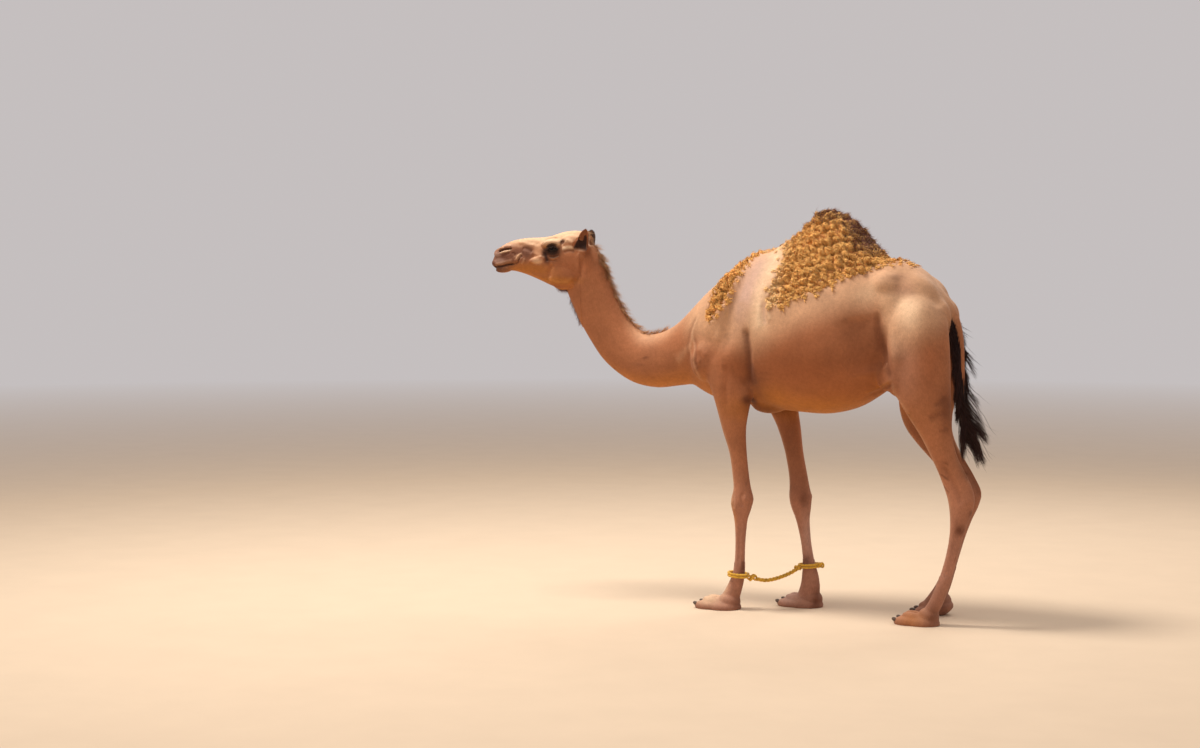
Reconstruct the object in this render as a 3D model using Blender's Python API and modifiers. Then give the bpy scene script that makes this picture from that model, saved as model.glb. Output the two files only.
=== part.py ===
"""A dromedary cow standing in a rope hobble: a life-size still model.

Metres, +Z up. The animal faces -X, its left side is -Y, and the floor is z = 0.
The body is modelled whole, from lofted trunk, neck, head and legs with muscles laid on,
fused into one surface, and then parted into its named pieces with thin cuts.
Run it with: blender --background --python part.py
"""

import math

import bmesh
import bpy
import numpy as np
from mathutils import Matrix, Vector

# ---- driving dimensions -------------------------------------------------------------
GAP = 0.0003  # between two pieces that meet
BODY_VOXEL = 0.008
SOFTENING = 50  # rounds of smoothing after the masses are fused
HARDEST = 0.12  # the share of it that the legs and the head get
FIRST_THINNING = 10000
FLESH_TRIANGLES = 4000
FINE_HEAD_X = -0.90
FINE_FOOT_Z = 0.06
SMALLEST_PIECE = 0.05
RING_POINTS = 28
RINGS_BETWEEN = 4  # rings between two stations of a loft

MIDDLE_X = -0.0346  # the middle of the animal's length, in the drawing's own x
FLOOR_Z = 0.028  # the floor, in the drawing's own z
LEFT, RIGHT = -1, 1

HEAD_YAW = math.radians(17)  # the head looks a little to the animal's left
NOSE = Vector((-1.385, -0.205, 1.846))
EYE_RADIUS = 0.026
EYE = (0.354, 0.072, 0.068)  # back from the nose, up, out to the side
SOLE_TILT = math.radians(17)  # of the resting right hind foot, heel raised
NAIL_RADII = (0.019, 0.014, 0.011)
NAIL_HEIGHT = 0.021
NAIL_OUT = 0.50  # of the foot's half width
ROPE_RADIUS = 0.011
LOOP_RADIUS = 0.0135
LOOP_POINTS = 20
SPAN_POINTS = 12
HAIR_POINTS = 10

# ---- stations: each row is one section ------------------------------------------------
# x, top, widest level, bottom, half width
TRUNK = [
    (-0.30, 1.53, 1.37, 1.22, 0.100),
    (-0.22, 1.63, 1.38, 1.165, 0.150),
    (-0.10, 1.77, 1.41, 1.115, 0.195),
    (0.05, 1.890, 1.44, 1.100, 0.222),
    (0.20, 1.922, 1.44, 1.075, 0.258),
    (0.35, 1.912, 1.42, 1.062, 0.290),
    (0.50, 1.905, 1.41, 1.058, 0.306),
    (0.65, 1.890, 1.42, 1.092, 0.292),
    (0.77, 1.872, 1.46, 1.160, 0.246),
    (0.88, 1.862, 1.56, 1.240, 0.205),
    (1.00, 1.800, 1.60, 1.320, 0.178),
    (1.09, 1.695, 1.57, 1.380, 0.140),
    (1.145, 1.600, 1.52, 1.430, 0.080),
]
# z, front x, rear x, half width
HUMP = [
    (1.66, 0.05, 0.92, 0.248),
    (1.78, 0.11, 0.86, 0.218),
    (1.87, 0.165, 0.805, 0.180),
    (1.93, 0.215, 0.742, 0.146),
    (1.98, 0.296, 0.706, 0.118),
    (2.03, 0.346, 0.668, 0.090),
    (2.07, 0.382, 0.624, 0.066),
    (2.100, 0.414, 0.572, 0.042),
    (2.120, 0.440, 0.532, 0.022),
]
# x, y, z of the middle, half depth, half width, lean of the section from upright (degrees)
NECK = [
    (-0.12, 0.000, 1.480, 0.290, 0.190, -8),
    (-0.20, 0.000, 1.455, 0.262, 0.172, -9),
    (-0.336, 0.000, 1.372, 0.190, 0.138, -6),
    (-0.440, 0.000, 1.334, 0.168, 0.120, -12),
    (-0.549, 0.000, 1.328, 0.149, 0.107, -20),
    (-0.634, -0.002, 1.357, 0.138, 0.099, -30),
    (-0.713, -0.006, 1.423, 0.137, 0.094, -37),
    (-0.762, -0.014, 1.492, 0.133, 0.091, -47),
    (-0.812, -0.024, 1.578, 0.131, 0.090, -57),
    (-0.852, -0.036, 1.673, 0.132, 0.090, -58),
    (-0.888, -0.050, 1.776, 0.136, 0.092, -56),
    (-0.925, -0.064, 1.860, 0.134, 0.090, -46),
]
# back from the nose, top, widest level, bottom, half width
SKULL = [
    (0.004, 0.022, 0.004, -0.014, 0.020),
    (0.018, 0.052, 0.006, -0.026, 0.038),
    (0.045, 0.088, 0.016, -0.032, 0.050),
    (0.085, 0.113, 0.022, -0.038, 0.054),
    (0.135, 0.130, 0.028, -0.044, 0.051),
    (0.200, 0.140, 0.030, -0.064, 0.054),
    (0.270, 0.142, 0.030, -0.094, 0.066),
    (0.330, 0.150, 0.030, -0.122, 0.080),
    (0.395, 0.170, 0.030, -0.144, 0.090),
    (0.455, 0.178, 0.030, -0.146, 0.090),
    (0.505, 0.172, 0.030, -0.120, 0.084),
    (0.550, 0.138, 0.030, -0.080, 0.070),
]
# z, front x, rear x, y, half width; the right legs are given at +y and the left at -y
FORE_LEFT = [
    (1.34, -0.155, 0.100, 0.150, 0.070),
    (1.22, -0.120, 0.118, 0.158, 0.074),
    (1.13, -0.088, 0.122, 0.158, 0.068),
    (1.05, -0.066, 0.104, 0.152, 0.060),
    (0.97, -0.044, 0.090, 0.148, 0.054),
    (0.85, -0.006, 0.092, 0.142, 0.047),
    (0.73, 0.010, 0.104, 0.137, 0.044),
    (0.665, 0.014, 0.114, 0.134, 0.048),
    (0.61, 0.002, 0.126, 0.132, 0.057),
    (0.555, 0.007, 0.112, 0.131, 0.052),
    (0.49, 0.018, 0.092, 0.130, 0.036),
    (0.38, 0.022, 0.080, 0.128, 0.029),
    (0.26, 0.016, 0.076, 0.126, 0.031),
    (0.205, 0.004, 0.074, 0.125, 0.038),
    (0.150, -0.022, 0.064, 0.125, 0.042),
    (0.100, -0.050, 0.050, 0.125, 0.046),
    (0.060, -0.070, 0.040, 0.125, 0.048),
]
FORE_RIGHT = [
    (1.34, -0.075, 0.180, 0.152, 0.070),
    (1.22, -0.010, 0.222, 0.160, 0.074),
    (1.13, 0.056, 0.256, 0.160, 0.068),
    (1.05, 0.106, 0.270, 0.155, 0.060),
    (0.97, 0.150, 0.284, 0.150, 0.054),
    (0.85, 0.194, 0.300, 0.142, 0.047),
    (0.73, 0.220, 0.326, 0.135, 0.044),
    (0.665, 0.226, 0.340, 0.132, 0.048),
    (0.605, 0.226, 0.352, 0.130, 0.057),
    (0.55, 0.238, 0.350, 0.129, 0.052),
    (0.485, 0.264, 0.344, 0.128, 0.037),
    (0.375, 0.292, 0.352, 0.126, 0.030),
    (0.26, 0.306, 0.374, 0.124, 0.032),
    (0.205, 0.304, 0.392, 0.123, 0.040),
    (0.150, 0.298, 0.402, 0.122, 0.044),
    (0.100, 0.282, 0.402, 0.122, 0.048),
    (0.060, 0.262, 0.394, 0.122, 0.050),
]
HIND_LEFT = [
    (1.62, 0.860, 1.130, 0.105, 0.080),
    (1.50, 0.826, 1.158, 0.135, 0.098),
    (1.36, 0.858, 1.172, 0.150, 0.104),
    (1.24, 0.884, 1.178, 0.160, 0.096),
    (1.14, 0.916, 1.183, 0.165, 0.084),
    (1.06, 0.966, 1.187, 0.166, 0.072),
    (0.97, 1.026, 1.192, 0.165, 0.060),
    (0.88, 1.074, 1.216, 0.163, 0.050),
    (0.80, 1.112, 1.256, 0.160, 0.043),
    (0.73, 1.140, 1.290, 0.158, 0.041),
    (0.665, 1.162, 1.304, 0.156, 0.046),
    (0.60, 1.172, 1.290, 0.154, 0.046),
    (0.53, 1.174, 1.262, 0.152, 0.037),
    (0.46, 1.168, 1.240, 0.150, 0.031),
    (0.37, 1.150, 1.218, 0.148, 0.029),
    (0.28, 1.124, 1.192, 0.147, 0.032),
    (0.20, 1.094, 1.166, 0.146, 0.039),
    (0.14, 1.066, 1.144, 0.145, 0.041),
    (0.090, 1.032, 1.120, 0.145, 0.044),
    (0.055, 1.010, 1.110, 0.145, 0.046),
]
HIND_RIGHT = [
    (1.62, 0.850, 1.120, 0.105, 0.080),
    (1.50, 0.806, 1.142, 0.135, 0.098),
    (1.36, 0.812, 1.146, 0.152, 0.104),
    (1.24, 0.806, 1.136, 0.164, 0.096),
    (1.14, 0.806, 1.116, 0.172, 0.086),
    (1.06, 0.816, 1.098, 0.176, 0.076),
    (0.98, 0.848, 1.096, 0.178, 0.064),
    (0.90, 0.912, 1.124, 0.178, 0.054),
    (0.82, 0.988, 1.172, 0.178, 0.046),
    (0.75, 1.052, 1.214, 0.178, 0.042),
    (0.67, 1.104, 1.250, 0.178, 0.046),
    (0.60, 1.118, 1.236, 0.177, 0.046),
    (0.53, 1.116, 1.204, 0.176, 0.037),
    (0.44, 1.098, 1.170, 0.175, 0.031),
    (0.34, 1.072, 1.140, 0.174, 0.029),
    (0.25, 1.044, 1.114, 0.174, 0.033),
    (0.185, 1.014, 1.096, 0.173, 0.041),
    (0.130, 0.978, 1.076, 0.173, 0.044),
    (0.095, 0.950, 1.068, 0.172, 0.046),
]
# x, z, half depth, half width of the dock, hanging between the buttocks
DOCK = [
    (1.045, 1.690, 0.045, 0.050),
    (1.100, 1.640, 0.034, 0.036),
    (1.150, 1.560, 0.026, 0.028),
    (1.178, 1.450, 0.022, 0.025),
    (1.188, 1.300, 0.018, 0.022),
    (1.196, 1.160, 0.013, 0.016),
    (1.206, 1.060, 0.008, 0.010),
]

# x, y, z of the middle, half depth, half width of the tail's long hair
SWITCH = [
    (1.196, 0.000, 1.520, 0.006, 0.030),
    (1.206, 0.000, 1.400, 0.010, 0.044),
    (1.214, 0.000, 1.270, 0.016, 0.052),
    (1.224, 0.000, 1.140, 0.024, 0.050),
    (1.240, 0.000, 1.040, 0.032, 0.046),
    (1.264, 0.000, 0.960, 0.036, 0.040),
    (1.292, 0.000, 0.895, 0.026, 0.028),
    (1.312, 0.000, 0.850, 0.008, 0.010),
]
# x, y, z of the middle, half length, half width, fall towards the front
LEFT_LOOP = (0.040, -0.1255, 0.211, 0.0515, 0.0530, -0.004)
RIGHT_LOOP = (0.343, 0.1235, 0.246, 0.0540, 0.0505, 0.004)
# the rope between the two knots: x, y, z
SPAN = [
    (0.124, -0.088, 0.188),
    (0.164, -0.062, 0.180),
    (0.200, -0.032, 0.184),
    (0.236, 0.002, 0.196),
    (0.270, 0.038, 0.213),
    (0.290, 0.062, 0.228),
]
# name, x, y, z, radii, turn
KNOTS = [
    ("hobble_knot_left", (0.106, -0.098, 0.197), (0.026, 0.018, 0.019), 28),
    ("hobble_knot_right", (0.297, 0.076, 0.236), (0.018, 0.017, 0.018), 40),
    ("hobble_end", (0.404, 0.122, 0.249), (0.017, 0.014, 0.015), 0),
]


# ---- shapes -------------------------------------------------------------------------
def smooth_rows(rows, between=RINGS_BETWEEN):
    """The stations with more rows between them, along a Catmull-Rom curve."""
    table = np.array(rows, float)
    padded = np.vstack([2 * table[0] - table[1], table, 2 * table[-1] - table[-2]])
    made = []
    for i in range(len(table) - 1):
        a, b, c, d = padded[i : i + 4]
        for t in np.arange(between) / between:
            made.append(
                0.5
                * (2 * b + (c - a) * t + (2 * a - 5 * b + 4 * c - d) * t**2 + (3 * b - a - 3 * c + d) * t**3)
            )
    return np.array(made + [table[-1]])


def add_ring(bm, centre, side, up, half_side, half_up, half_down, squareness=1.0, points=RING_POINTS):
    """A closed egg-shaped ring: half_up and half_down are its reaches along up and against it."""
    made = bmesh.ops.create_circle(bm, segments=points, radius=1.0)["verts"]
    for vert in made:
        c, s = vert.co.x, vert.co.y
        c = math.copysign(abs(c) ** squareness, c)
        s = math.copysign(abs(s) ** squareness, s)
        vert.co = centre + side * (c * half_side) + up * (s * (half_up if s > 0 else half_down))
    return list({edge for vert in made for edge in vert.link_edges})


def close_loft(bm, loops):
    """Bridges the rings, closes both ends and turns the faces outwards."""
    for one, other in zip(loops, loops[1:]):
        bmesh.ops.bridge_loops(bm, edges=one + other)
    bmesh.ops.holes_fill(bm, edges=bm.edges, sides=0)
    bmesh.ops.recalc_face_normals(bm, faces=bm.faces)


def mesh_object(name, bm, collection):
    mesh = bpy.data.meshes.new(name)
    bm.to_mesh(mesh)
    bm.free()
    obj = bpy.data.objects.new(name, mesh)
    collection.objects.link(obj)
    return obj


def place(x, y, z):
    """A point of the drawing, in the model's own frame."""
    return Vector((x - MIDDLE_X, y, z - FLOOR_Z))


def on_floor(x, y, z):
    """A point of the drawing at a height above the floor."""
    return Vector((x - MIDDLE_X, y, z))


def head_point(back, up, out):
    """A point of the head: back from the nose, up, and out to the animal's right."""
    turn = Matrix.Rotation(HEAD_YAW, 3, "Z")
    return place(*(NOSE + turn @ Vector((back, out, up))))


def trunk_form():
    bm = bmesh.new()
    loops = []
    for x, top, level, bottom, half in smooth_rows(TRUNK):
        loops.append(
            add_ring(bm, place(x, 0, level), Vector((0, 1, 0)), Vector((0, 0, 1)),
                     half, top - level, level - bottom)
        )
    close_loft(bm, loops)
    return bm


def hump_form():
    bm = bmesh.new()
    loops = []
    for z, front, rear, half in smooth_rows(HUMP):
        reach = (rear - front) / 2
        loops.append(
            add_ring(bm, place((front + rear) / 2, 0, z), Vector((0, 1, 0)), Vector((1, 0, 0)),
                     half, reach, reach)
        )
    close_loft(bm, loops)
    return bm


def neck_form():
    bm = bmesh.new()
    loops = []
    for x, y, z, depth, half, lean in smooth_rows(NECK):
        angle = math.radians(lean)
        up = Vector((-math.sin(angle), 0, math.cos(angle)))
        loops.append(add_ring(bm, place(x, y, z), Vector((0, 1, 0)), up, half, depth, depth))
    close_loft(bm, loops)
    return bm


def skull_form():
    bm = bmesh.new()
    side = head_point(0, 0, 1) - head_point(0, 0, 0)
    loops = []
    for back, top, level, bottom, half in smooth_rows(SKULL):
        loops.append(
            add_ring(bm, head_point(back, level, 0), side, Vector((0, 0, 1)),
                     half, top - level, level - bottom, squareness=0.9)
        )
    close_loft(bm, loops)
    return bm


def leg_form(rows, side):
    bm = bmesh.new()
    loops = []
    for z, front, rear, out, half in smooth_rows(rows):
        reach = (rear - front) / 2
        loops.append(
            add_ring(bm, place((front + rear) / 2, side * out, z), Vector((0, 1, 0)),
                     Vector((1, 0, 0)), half, reach, reach)
        )
    close_loft(bm, loops)
    return bm


def dock_form():
    bm = bmesh.new()
    loops = []
    rows = smooth_rows(DOCK, between=2)
    for row, ahead in zip(rows, np.gradient(rows, axis=0)):
        x, z, depth, half = row
        run = Vector((ahead[0], 0, ahead[1])).normalized()
        up = Vector((-run.z, 0, run.x))
        loops.append(add_ring(bm, place(x, 0, z), Vector((0, 1, 0)), up, half, depth, depth,
                              points=HAIR_POINTS))
    close_loft(bm, loops)
    return bm


def muscle(centre, radii, lean=0.0, turn=0.0, fineness=12):
    """An ellipsoid: lean tips its top forwards in degrees, turn swings it about the upright."""
    bm = bmesh.new()
    bmesh.ops.create_uvsphere(bm, u_segments=2 * fineness, v_segments=fineness, radius=1.0)
    matrix = (
        Matrix.Translation(centre)
        @ Matrix.Rotation(math.radians(turn), 4, "Z")
        @ Matrix.Rotation(math.radians(-lean), 4, "Y")
        @ Matrix.Diagonal((*radii, 1.0))
    )
    bmesh.ops.transform(bm, matrix=matrix, verts=bm.verts)
    return bm


def foot_forms(toe_x, heel_x, y, half, tilt=0.0):
    """A broad pad with two toes; tilt lifts its heel about the tip of its toes."""
    length = heel_x - toe_x
    pivot = on_floor(toe_x + 0.25 * length, y, 0)
    forms = [
        muscle(on_floor(toe_x + 0.60 * length, y, 0.010), (0.41 * length, half, 0.044)),
        muscle(on_floor(toe_x + 0.75 * length, y, 0.040), (0.25 * length, 0.70 * half, 0.050)),
    ]
    for out in (-1, 1):
        forms.append(
            muscle(on_floor(toe_x + 0.31 * length, y + out * 0.46 * half, 0.014),
                   (0.31 * length, 0.50 * half, 0.031), turn=out * 7)
        )
        forms.append(
            muscle(on_floor(toe_x + 0.46 * length, y + out * 0.34 * half, 0.032),
                   (0.28 * length, 0.40 * half, 0.030), lean=-16)
        )
    turn = Matrix.Translation(pivot) @ Matrix.Rotation(-tilt, 4, "Y") @ Matrix.Translation(-pivot)
    for form in forms:
        bmesh.ops.transform(form, matrix=turn, verts=form.verts)
    return forms


# ---- masses laid on the lofts ----------------------------------------------------------
# x, y, z of the middle; radii along x, y, z; lean (top forwards); on which sides
BODY_MUSCLES = [
    ((-0.040, 0.130, 1.580), (0.115, 0.085, 0.250), -20, (LEFT, RIGHT)),  # shoulder blade
    ((-0.130, 0.140, 1.340), (0.095, 0.080, 0.125), -10, (LEFT,)),  # point of the shoulder
    ((-0.110, 0.140, 1.330), (0.095, 0.080, 0.125), -10, (RIGHT,)),
    ((0.035, 0.150, 1.350), (0.120, 0.086, 0.190), -18, (LEFT,)),  # upper arm
    ((0.115, 0.150, 1.320), (0.140, 0.086, 0.190), -26, (RIGHT,)),
    ((0.088, 0.165, 1.155), (0.044, 0.048, 0.070), 0, (LEFT,)),  # elbow
    ((0.232, 0.168, 1.140), (0.048, 0.048, 0.070), 0, (RIGHT,)),
    ((0.165, 0.000, 1.105), (0.105, 0.088, 0.056), 0, (RIGHT,)),  # chest pad
    ((1.000, 0.140, 1.450), (0.155, 0.115, 0.240), 6, (LEFT, RIGHT)),  # thigh
    ((0.925, 0.165, 1.360), (0.090, 0.085, 0.200), -8, (LEFT, RIGHT)),  # front of the thigh
    ((0.840, 0.135, 1.715), (0.095, 0.070, 0.080), 0, (LEFT, RIGHT)),  # point of the hip
    ((0.960, 0.080, 1.680), (0.150, 0.098, 0.108), -26, (LEFT, RIGHT)),  # croup
    ((1.075, 0.080, 1.560), (0.080, 0.065, 0.110), 0, (LEFT, RIGHT)),  # seat bone
    ((0.868, 0.140, 1.290), (0.070, 0.060, 0.110), -20, (LEFT, RIGHT)),  # fold of the flank
]
# back from the nose, up, out; radii back, out, up; lean; on both sides unless out is zero
HEAD_FORMS = [
    ((0.066, 0.052, 0.030), (0.052, 0.026, 0.036), 0),  # nostril wing
    ((0.040, 0.002, 0.020), (0.040, 0.028, 0.030), 0),  # upper lip, split in the middle
    ((0.064, -0.034, 0.000), (0.046, 0.038, 0.018), 4),  # lower lip
    ((0.160, 0.022, 0.036), (0.060, 0.022, 0.034), 0),  # cheek pouch
    ((0.345, 0.106, 0.060), (0.064, 0.036, 0.026), 6),  # brow
    ((0.310, 0.026, 0.052), (0.100, 0.026, 0.026), 10),  # cheek bone
    ((0.405, -0.060, 0.058), (0.086, 0.034, 0.086), -12),  # jaw muscle
    ((0.450, 0.100, 0.056), (0.070, 0.034, 0.056), 0),  # temple
    ((0.520, 0.070, 0.056), (0.036, 0.040, 0.050), 0),  # root of the ear
]
# back, up, out of the ear's base and tip
EAR_BASE = (0.515, 0.060, 0.078)
EAR_TIP = (0.534, 0.188, 0.112)
EAR_HALF_WIDTH = 0.034
EAR_THICKNESS = 0.009
EAR_CUP = 0.026
EAR_FACING = (-0.45, 0.05, 0.90)  # back, up, out: the way the hollow of the ear looks

# toe x, heel x, y, half width of each foot, and its lift
FEET = {
    "foreleg_left_foot": (-0.192, 0.052, -0.130, 0.088, 0.0),
    "foreleg_right_foot": (0.174, 0.416, 0.126, 0.088, 0.0),
    "hindleg_left_foot": (0.898, 1.126, -0.150, 0.078, 0.0),
    "hindleg_right_foot": (0.900, 1.112, 0.182, 0.076, SOLE_TILT),
}

# ---- thin cuts: x, y, z of the middle, half length, half width, lean of the plane ---------
CUTS = [
    (-0.925, -0.07, 1.850, 0.27, 0.25, -27),  # head from neck
    (-0.713, 0.00, 1.423, 0.22, 0.25, -37),  # upper neck from lower
    (-0.265, 0.00, 1.420, 0.40, 0.30, -8),  # neck from trunk
    (0.450, 0.00, 1.912, 0.52, 0.32, -90),  # hump from trunk
    (0.130, 0.00, 1.025, 0.40, 0.34, -90),  # forelegs from trunk
    (0.130, 0.00, 0.600, 0.40, 0.34, -90),  # knees
    (0.130, 0.00, 0.190, 0.40, 0.34, -90),  # fore fetlocks
    (0.980, 0.00, 1.185, 0.30, 0.34, -68),  # thighs from trunk
    (1.030, 0.00, 0.930, 0.34, 0.34, -90),  # stifles
    (1.150, 0.00, 0.630, 0.34, 0.34, -90),  # hocks
    (1.080, 0.00, 0.165, 0.34, 0.34, -90),  # hind fetlocks
]
# where about the middle of each piece of flesh lies, to tell the pieces apart
FLESH = {
    "head": (-1.15, -0.14, 1.87),
    "neck_upper": (-0.85, -0.03, 1.70),
    "neck_lower": (-0.48, 0.0, 1.34),
    "trunk": (0.45, 0.0, 1.48),
    "hump": (0.47, 0.0, 2.00),
    "foreleg_left_forearm": (0.04, -0.14, 0.85),
    "foreleg_left_cannon": (0.05, -0.13, 0.40),
    "foreleg_left_foot": (-0.04, -0.13, 0.08),
    "foreleg_right_forearm": (0.24, 0.14, 0.85),
    "foreleg_right_cannon": (0.31, 0.13, 0.40),
    "foreleg_right_foot": (0.31, 0.13, 0.08),
    "hindleg_left_thigh": (1.02, -0.16, 1.10),
    "hindleg_left_gaskin": (1.17, -0.16, 0.78),
    "hindleg_left_cannon": (1.19, -0.15, 0.40),
    "hindleg_left_foot": (1.05, -0.15, 0.08),
    "hindleg_right_thigh": (0.98, 0.17, 1.08),
    "hindleg_right_gaskin": (1.08, 0.18, 0.78),
    "hindleg_right_cannon": (1.13, 0.18, 0.40),
    "hindleg_right_foot": (1.00, 0.17, 0.08),
}


def body_forms():
    forms = [trunk_form(), hump_form(), neck_form(), skull_form()]
    for rows, side in ((FORE_LEFT, LEFT), (FORE_RIGHT, RIGHT), (HIND_LEFT, LEFT), (HIND_RIGHT, RIGHT)):
        forms.append(leg_form(rows, side))
    for (x, y, z), radii, lean, sides in BODY_MUSCLES:
        for side in sides:
            forms.append(muscle(place(x, side * y, z), radii, lean))
    for (back, up, out), radii, lean in HEAD_FORMS:
        for side in (LEFT, RIGHT) if out else (RIGHT,):
            forms.append(
                muscle(head_point(back, up, side * out), radii, lean, turn=math.degrees(HEAD_YAW))
            )
    for toe_x, heel_x, y, half, tilt in FEET.values():
        forms += foot_forms(toe_x, heel_x, y, half, tilt)
    return forms


def joined(forms):
    whole = bmesh.new()
    for form in forms:
        mesh = bpy.data.meshes.new("form")
        form.to_mesh(mesh)
        form.free()
        whole.from_mesh(mesh)
        bpy.data.meshes.remove(mesh)
    return whole


def settle(obj):
    """Works the object's modifiers into its mesh."""
    graph = bpy.context.evaluated_depsgraph_get()
    mesh = bpy.data.meshes.new_from_object(obj.evaluated_get(graph))
    obj.modifiers.clear()
    obj.data = mesh


def thin_out(obj, triangles, kept=None):
    """Collapses the mesh to that many triangles, and leaves alone the places that kept names."""
    decimate = obj.modifiers.new("thin", "DECIMATE")
    decimate.ratio = triangles / sum(len(face.vertices) - 2 for face in obj.data.polygons)
    if kept:
        group = obj.vertex_groups.new(name="open")
        group.add([vert.index for vert in obj.data.vertices if not kept(vert.co)], 1.0, "REPLACE")
        decimate.vertex_group = group.name
    settle(obj)
    obj.vertex_groups.clear()


def is_fine(point):
    """Whether the surface stays fine there: on the head and the feet."""
    return point.x < FINE_HEAD_X - MIDDLE_X or point.z < FINE_FOOT_Z


def ease(value, low, high):
    """From 0 at low to 1 at high, without a corner."""
    t = min(1.0, max(0.0, (value - low) / (high - low)))
    return t * t * (3 - 2 * t)


def softness(point):
    """How far the surface is smoothed there: most on the trunk, least on the feet and head."""
    leg = ease(point.z, 0.85, 1.25)
    head = ease(point.x, FINE_HEAD_X - MIDDLE_X, FINE_HEAD_X - MIDDLE_X + 0.25)
    return HARDEST + (1.0 - HARDEST) * min(leg, head)


def fused_body(collection):
    """The whole animal's flesh as one closed surface."""
    obj = mesh_object("flesh", joined(body_forms()), collection)
    remesh = obj.modifiers.new("fuse", "REMESH")
    remesh.mode = "VOXEL"
    remesh.voxel_size = BODY_VOXEL
    settle(obj)
    group = obj.vertex_groups.new(name="soft")
    for vert in obj.data.vertices:
        group.add([vert.index], softness(vert.co), "REPLACE")
    smooth = obj.modifiers.new("soften", "SMOOTH")
    smooth.factor = 0.5
    smooth.iterations = SOFTENING
    smooth.vertex_group = group.name
    settle(obj)
    obj.vertex_groups.clear()
    thin_out(obj, FIRST_THINNING)
    thin_out(obj, FLESH_TRIANGLES, is_fine)
    level_soles(obj)
    return obj


def level_soles(obj):
    """Cuts the feet off flat at the floor."""
    bm = bmesh.new()
    bm.from_mesh(obj.data)
    geometry = bm.verts[:] + bm.edges[:] + bm.faces[:]
    bmesh.ops.bisect_plane(bm, geom=geometry, dist=1e-6, plane_co=(0, 0, 0), plane_no=(0, 0, 1),
                           clear_inner=True)
    rim = [edge for edge in bm.edges if edge.is_boundary]
    bmesh.ops.holes_fill(bm, edges=rim, sides=0)
    bmesh.ops.triangulate(bm, faces=bm.faces)
    bm.to_mesh(obj.data)
    bm.free()


def cutter_slabs(collection):
    """One object that holds every thin cut."""
    bm = bmesh.new()
    for x, y, z, length, width, lean in CUTS:
        matrix = (
            Matrix.Translation(place(x, y, z))
            @ Matrix.Rotation(math.radians(-lean), 4, "Y")
            @ Matrix.Diagonal((GAP, 2 * width, 2 * length, 1.0))
        )
        bmesh.ops.create_cube(bm, size=1.0, matrix=matrix)
    return mesh_object("thin_cuts", bm, collection)


def subtract(obj, cutter):
    boolean = obj.modifiers.new("cut", "BOOLEAN")
    boolean.operation = "DIFFERENCE"
    boolean.solver = "EXACT"
    boolean.object = cutter
    settle(obj)


def swollen(obj, by, collection):
    """A copy of the object, larger by that much all round, to cut its neighbours with."""
    copy = obj.copy()
    copy.data = obj.data.copy()
    copy.name = obj.name + "_room"
    collection.objects.link(copy)
    displace = copy.modifiers.new("swell", "DISPLACE")
    displace.mid_level = 0.0
    displace.strength = by
    settle(copy)
    return copy


def loose_pieces(obj):
    """The mesh's separate closed bodies, each as a list of faces."""
    bm = bmesh.new()
    bm.from_mesh(obj.data)
    left = set(bm.faces)
    pieces = []
    while left:
        found = [left.pop()]
        for face in found:
            for edge in face.edges:
                for near in edge.link_faces:
                    if near in left:
                        left.discard(near)
                        found.append(near)
        pieces.append(found)
    return bm, pieces


def island(faces, name, collection):
    """A new object of those faces alone."""
    piece = bmesh.new()
    places = {}
    for face in faces:
        for vert in face.verts:
            if vert not in places:
                places[vert] = piece.verts.new(vert.co)
        piece.faces.new([places[vert] for vert in face.verts])
    return mesh_object(name, piece, collection)


def largest(obj):
    """Leaves only the object's largest separate body."""
    bm, pieces = loose_pieces(obj)
    kept = set(max(pieces, key=lambda faces: sum(face.calc_area() for face in faces)))
    bmesh.ops.delete(bm, geom=[face for face in bm.faces if face not in kept], context="FACES")
    bm.to_mesh(obj.data)
    bm.free()
    return obj


def part_flesh(obj, collection):
    """Names each separate piece after the place in FLESH that lies nearest to its middle."""
    bm, pieces = loose_pieces(obj)
    named = {}
    for faces in pieces:
        corners = {vert for face in faces for vert in face.verts}
        low = Vector(map(min, zip(*(vert.co for vert in corners))))
        high = Vector(map(max, zip(*(vert.co for vert in corners))))
        if (high - low).length < SMALLEST_PIECE:
            continue
        middle = (low + high) / 2
        name = min(FLESH, key=lambda node: (place(*FLESH[node]) - middle).length)
        named.setdefault(name, []).append(faces)
    made = {}
    for name, lists in named.items():
        made[name] = island(max(lists, key=len), name, collection)
    bm.free()
    return made


# ---- eyes, ears, nails, tail -----------------------------------------------------------
def eye_ball(side, extra=0.0):
    back, up, out = EYE
    radius = EYE_RADIUS + extra
    bm = bmesh.new()
    bmesh.ops.create_uvsphere(bm, u_segments=12, v_segments=8, radius=radius)
    bmesh.ops.translate(bm, vec=head_point(back, up, side * out), verts=bm.verts)
    return bm


def ear_form(side):
    """A leaf, hollow on the side that EAR_FACING gives."""
    base = head_point(EAR_BASE[0], EAR_BASE[1], side * EAR_BASE[2])
    tip = head_point(EAR_TIP[0], EAR_TIP[1], side * EAR_TIP[2])
    along = (tip - base).normalized()
    back, up, out = EAR_FACING
    facing = head_point(back, up, side * out) - head_point(0, 0, 0)
    facing = (facing - along * facing.dot(along)).normalized()
    across = facing.cross(along)
    half = (tip - base).length / 2
    bm = bmesh.new()
    bmesh.ops.create_uvsphere(bm, u_segments=14, v_segments=10, radius=1.0)
    for vert in bm.verts:
        run, wide, deep = vert.co.z, vert.co.x, vert.co.y
        width = EAR_HALF_WIDTH * (1.0 - 0.22 * run - 0.20 * run * run)
        hollow = EAR_CUP * (wide * wide - 0.45) * (1.0 - 0.35 * run)
        vert.co = (
            base
            + along * (half * (1 + run))
            + across * (wide * width)
            + facing * (deep * EAR_THICKNESS + hollow)
        )
    bmesh.ops.recalc_face_normals(bm, faces=bm.faces)
    return bm


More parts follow.
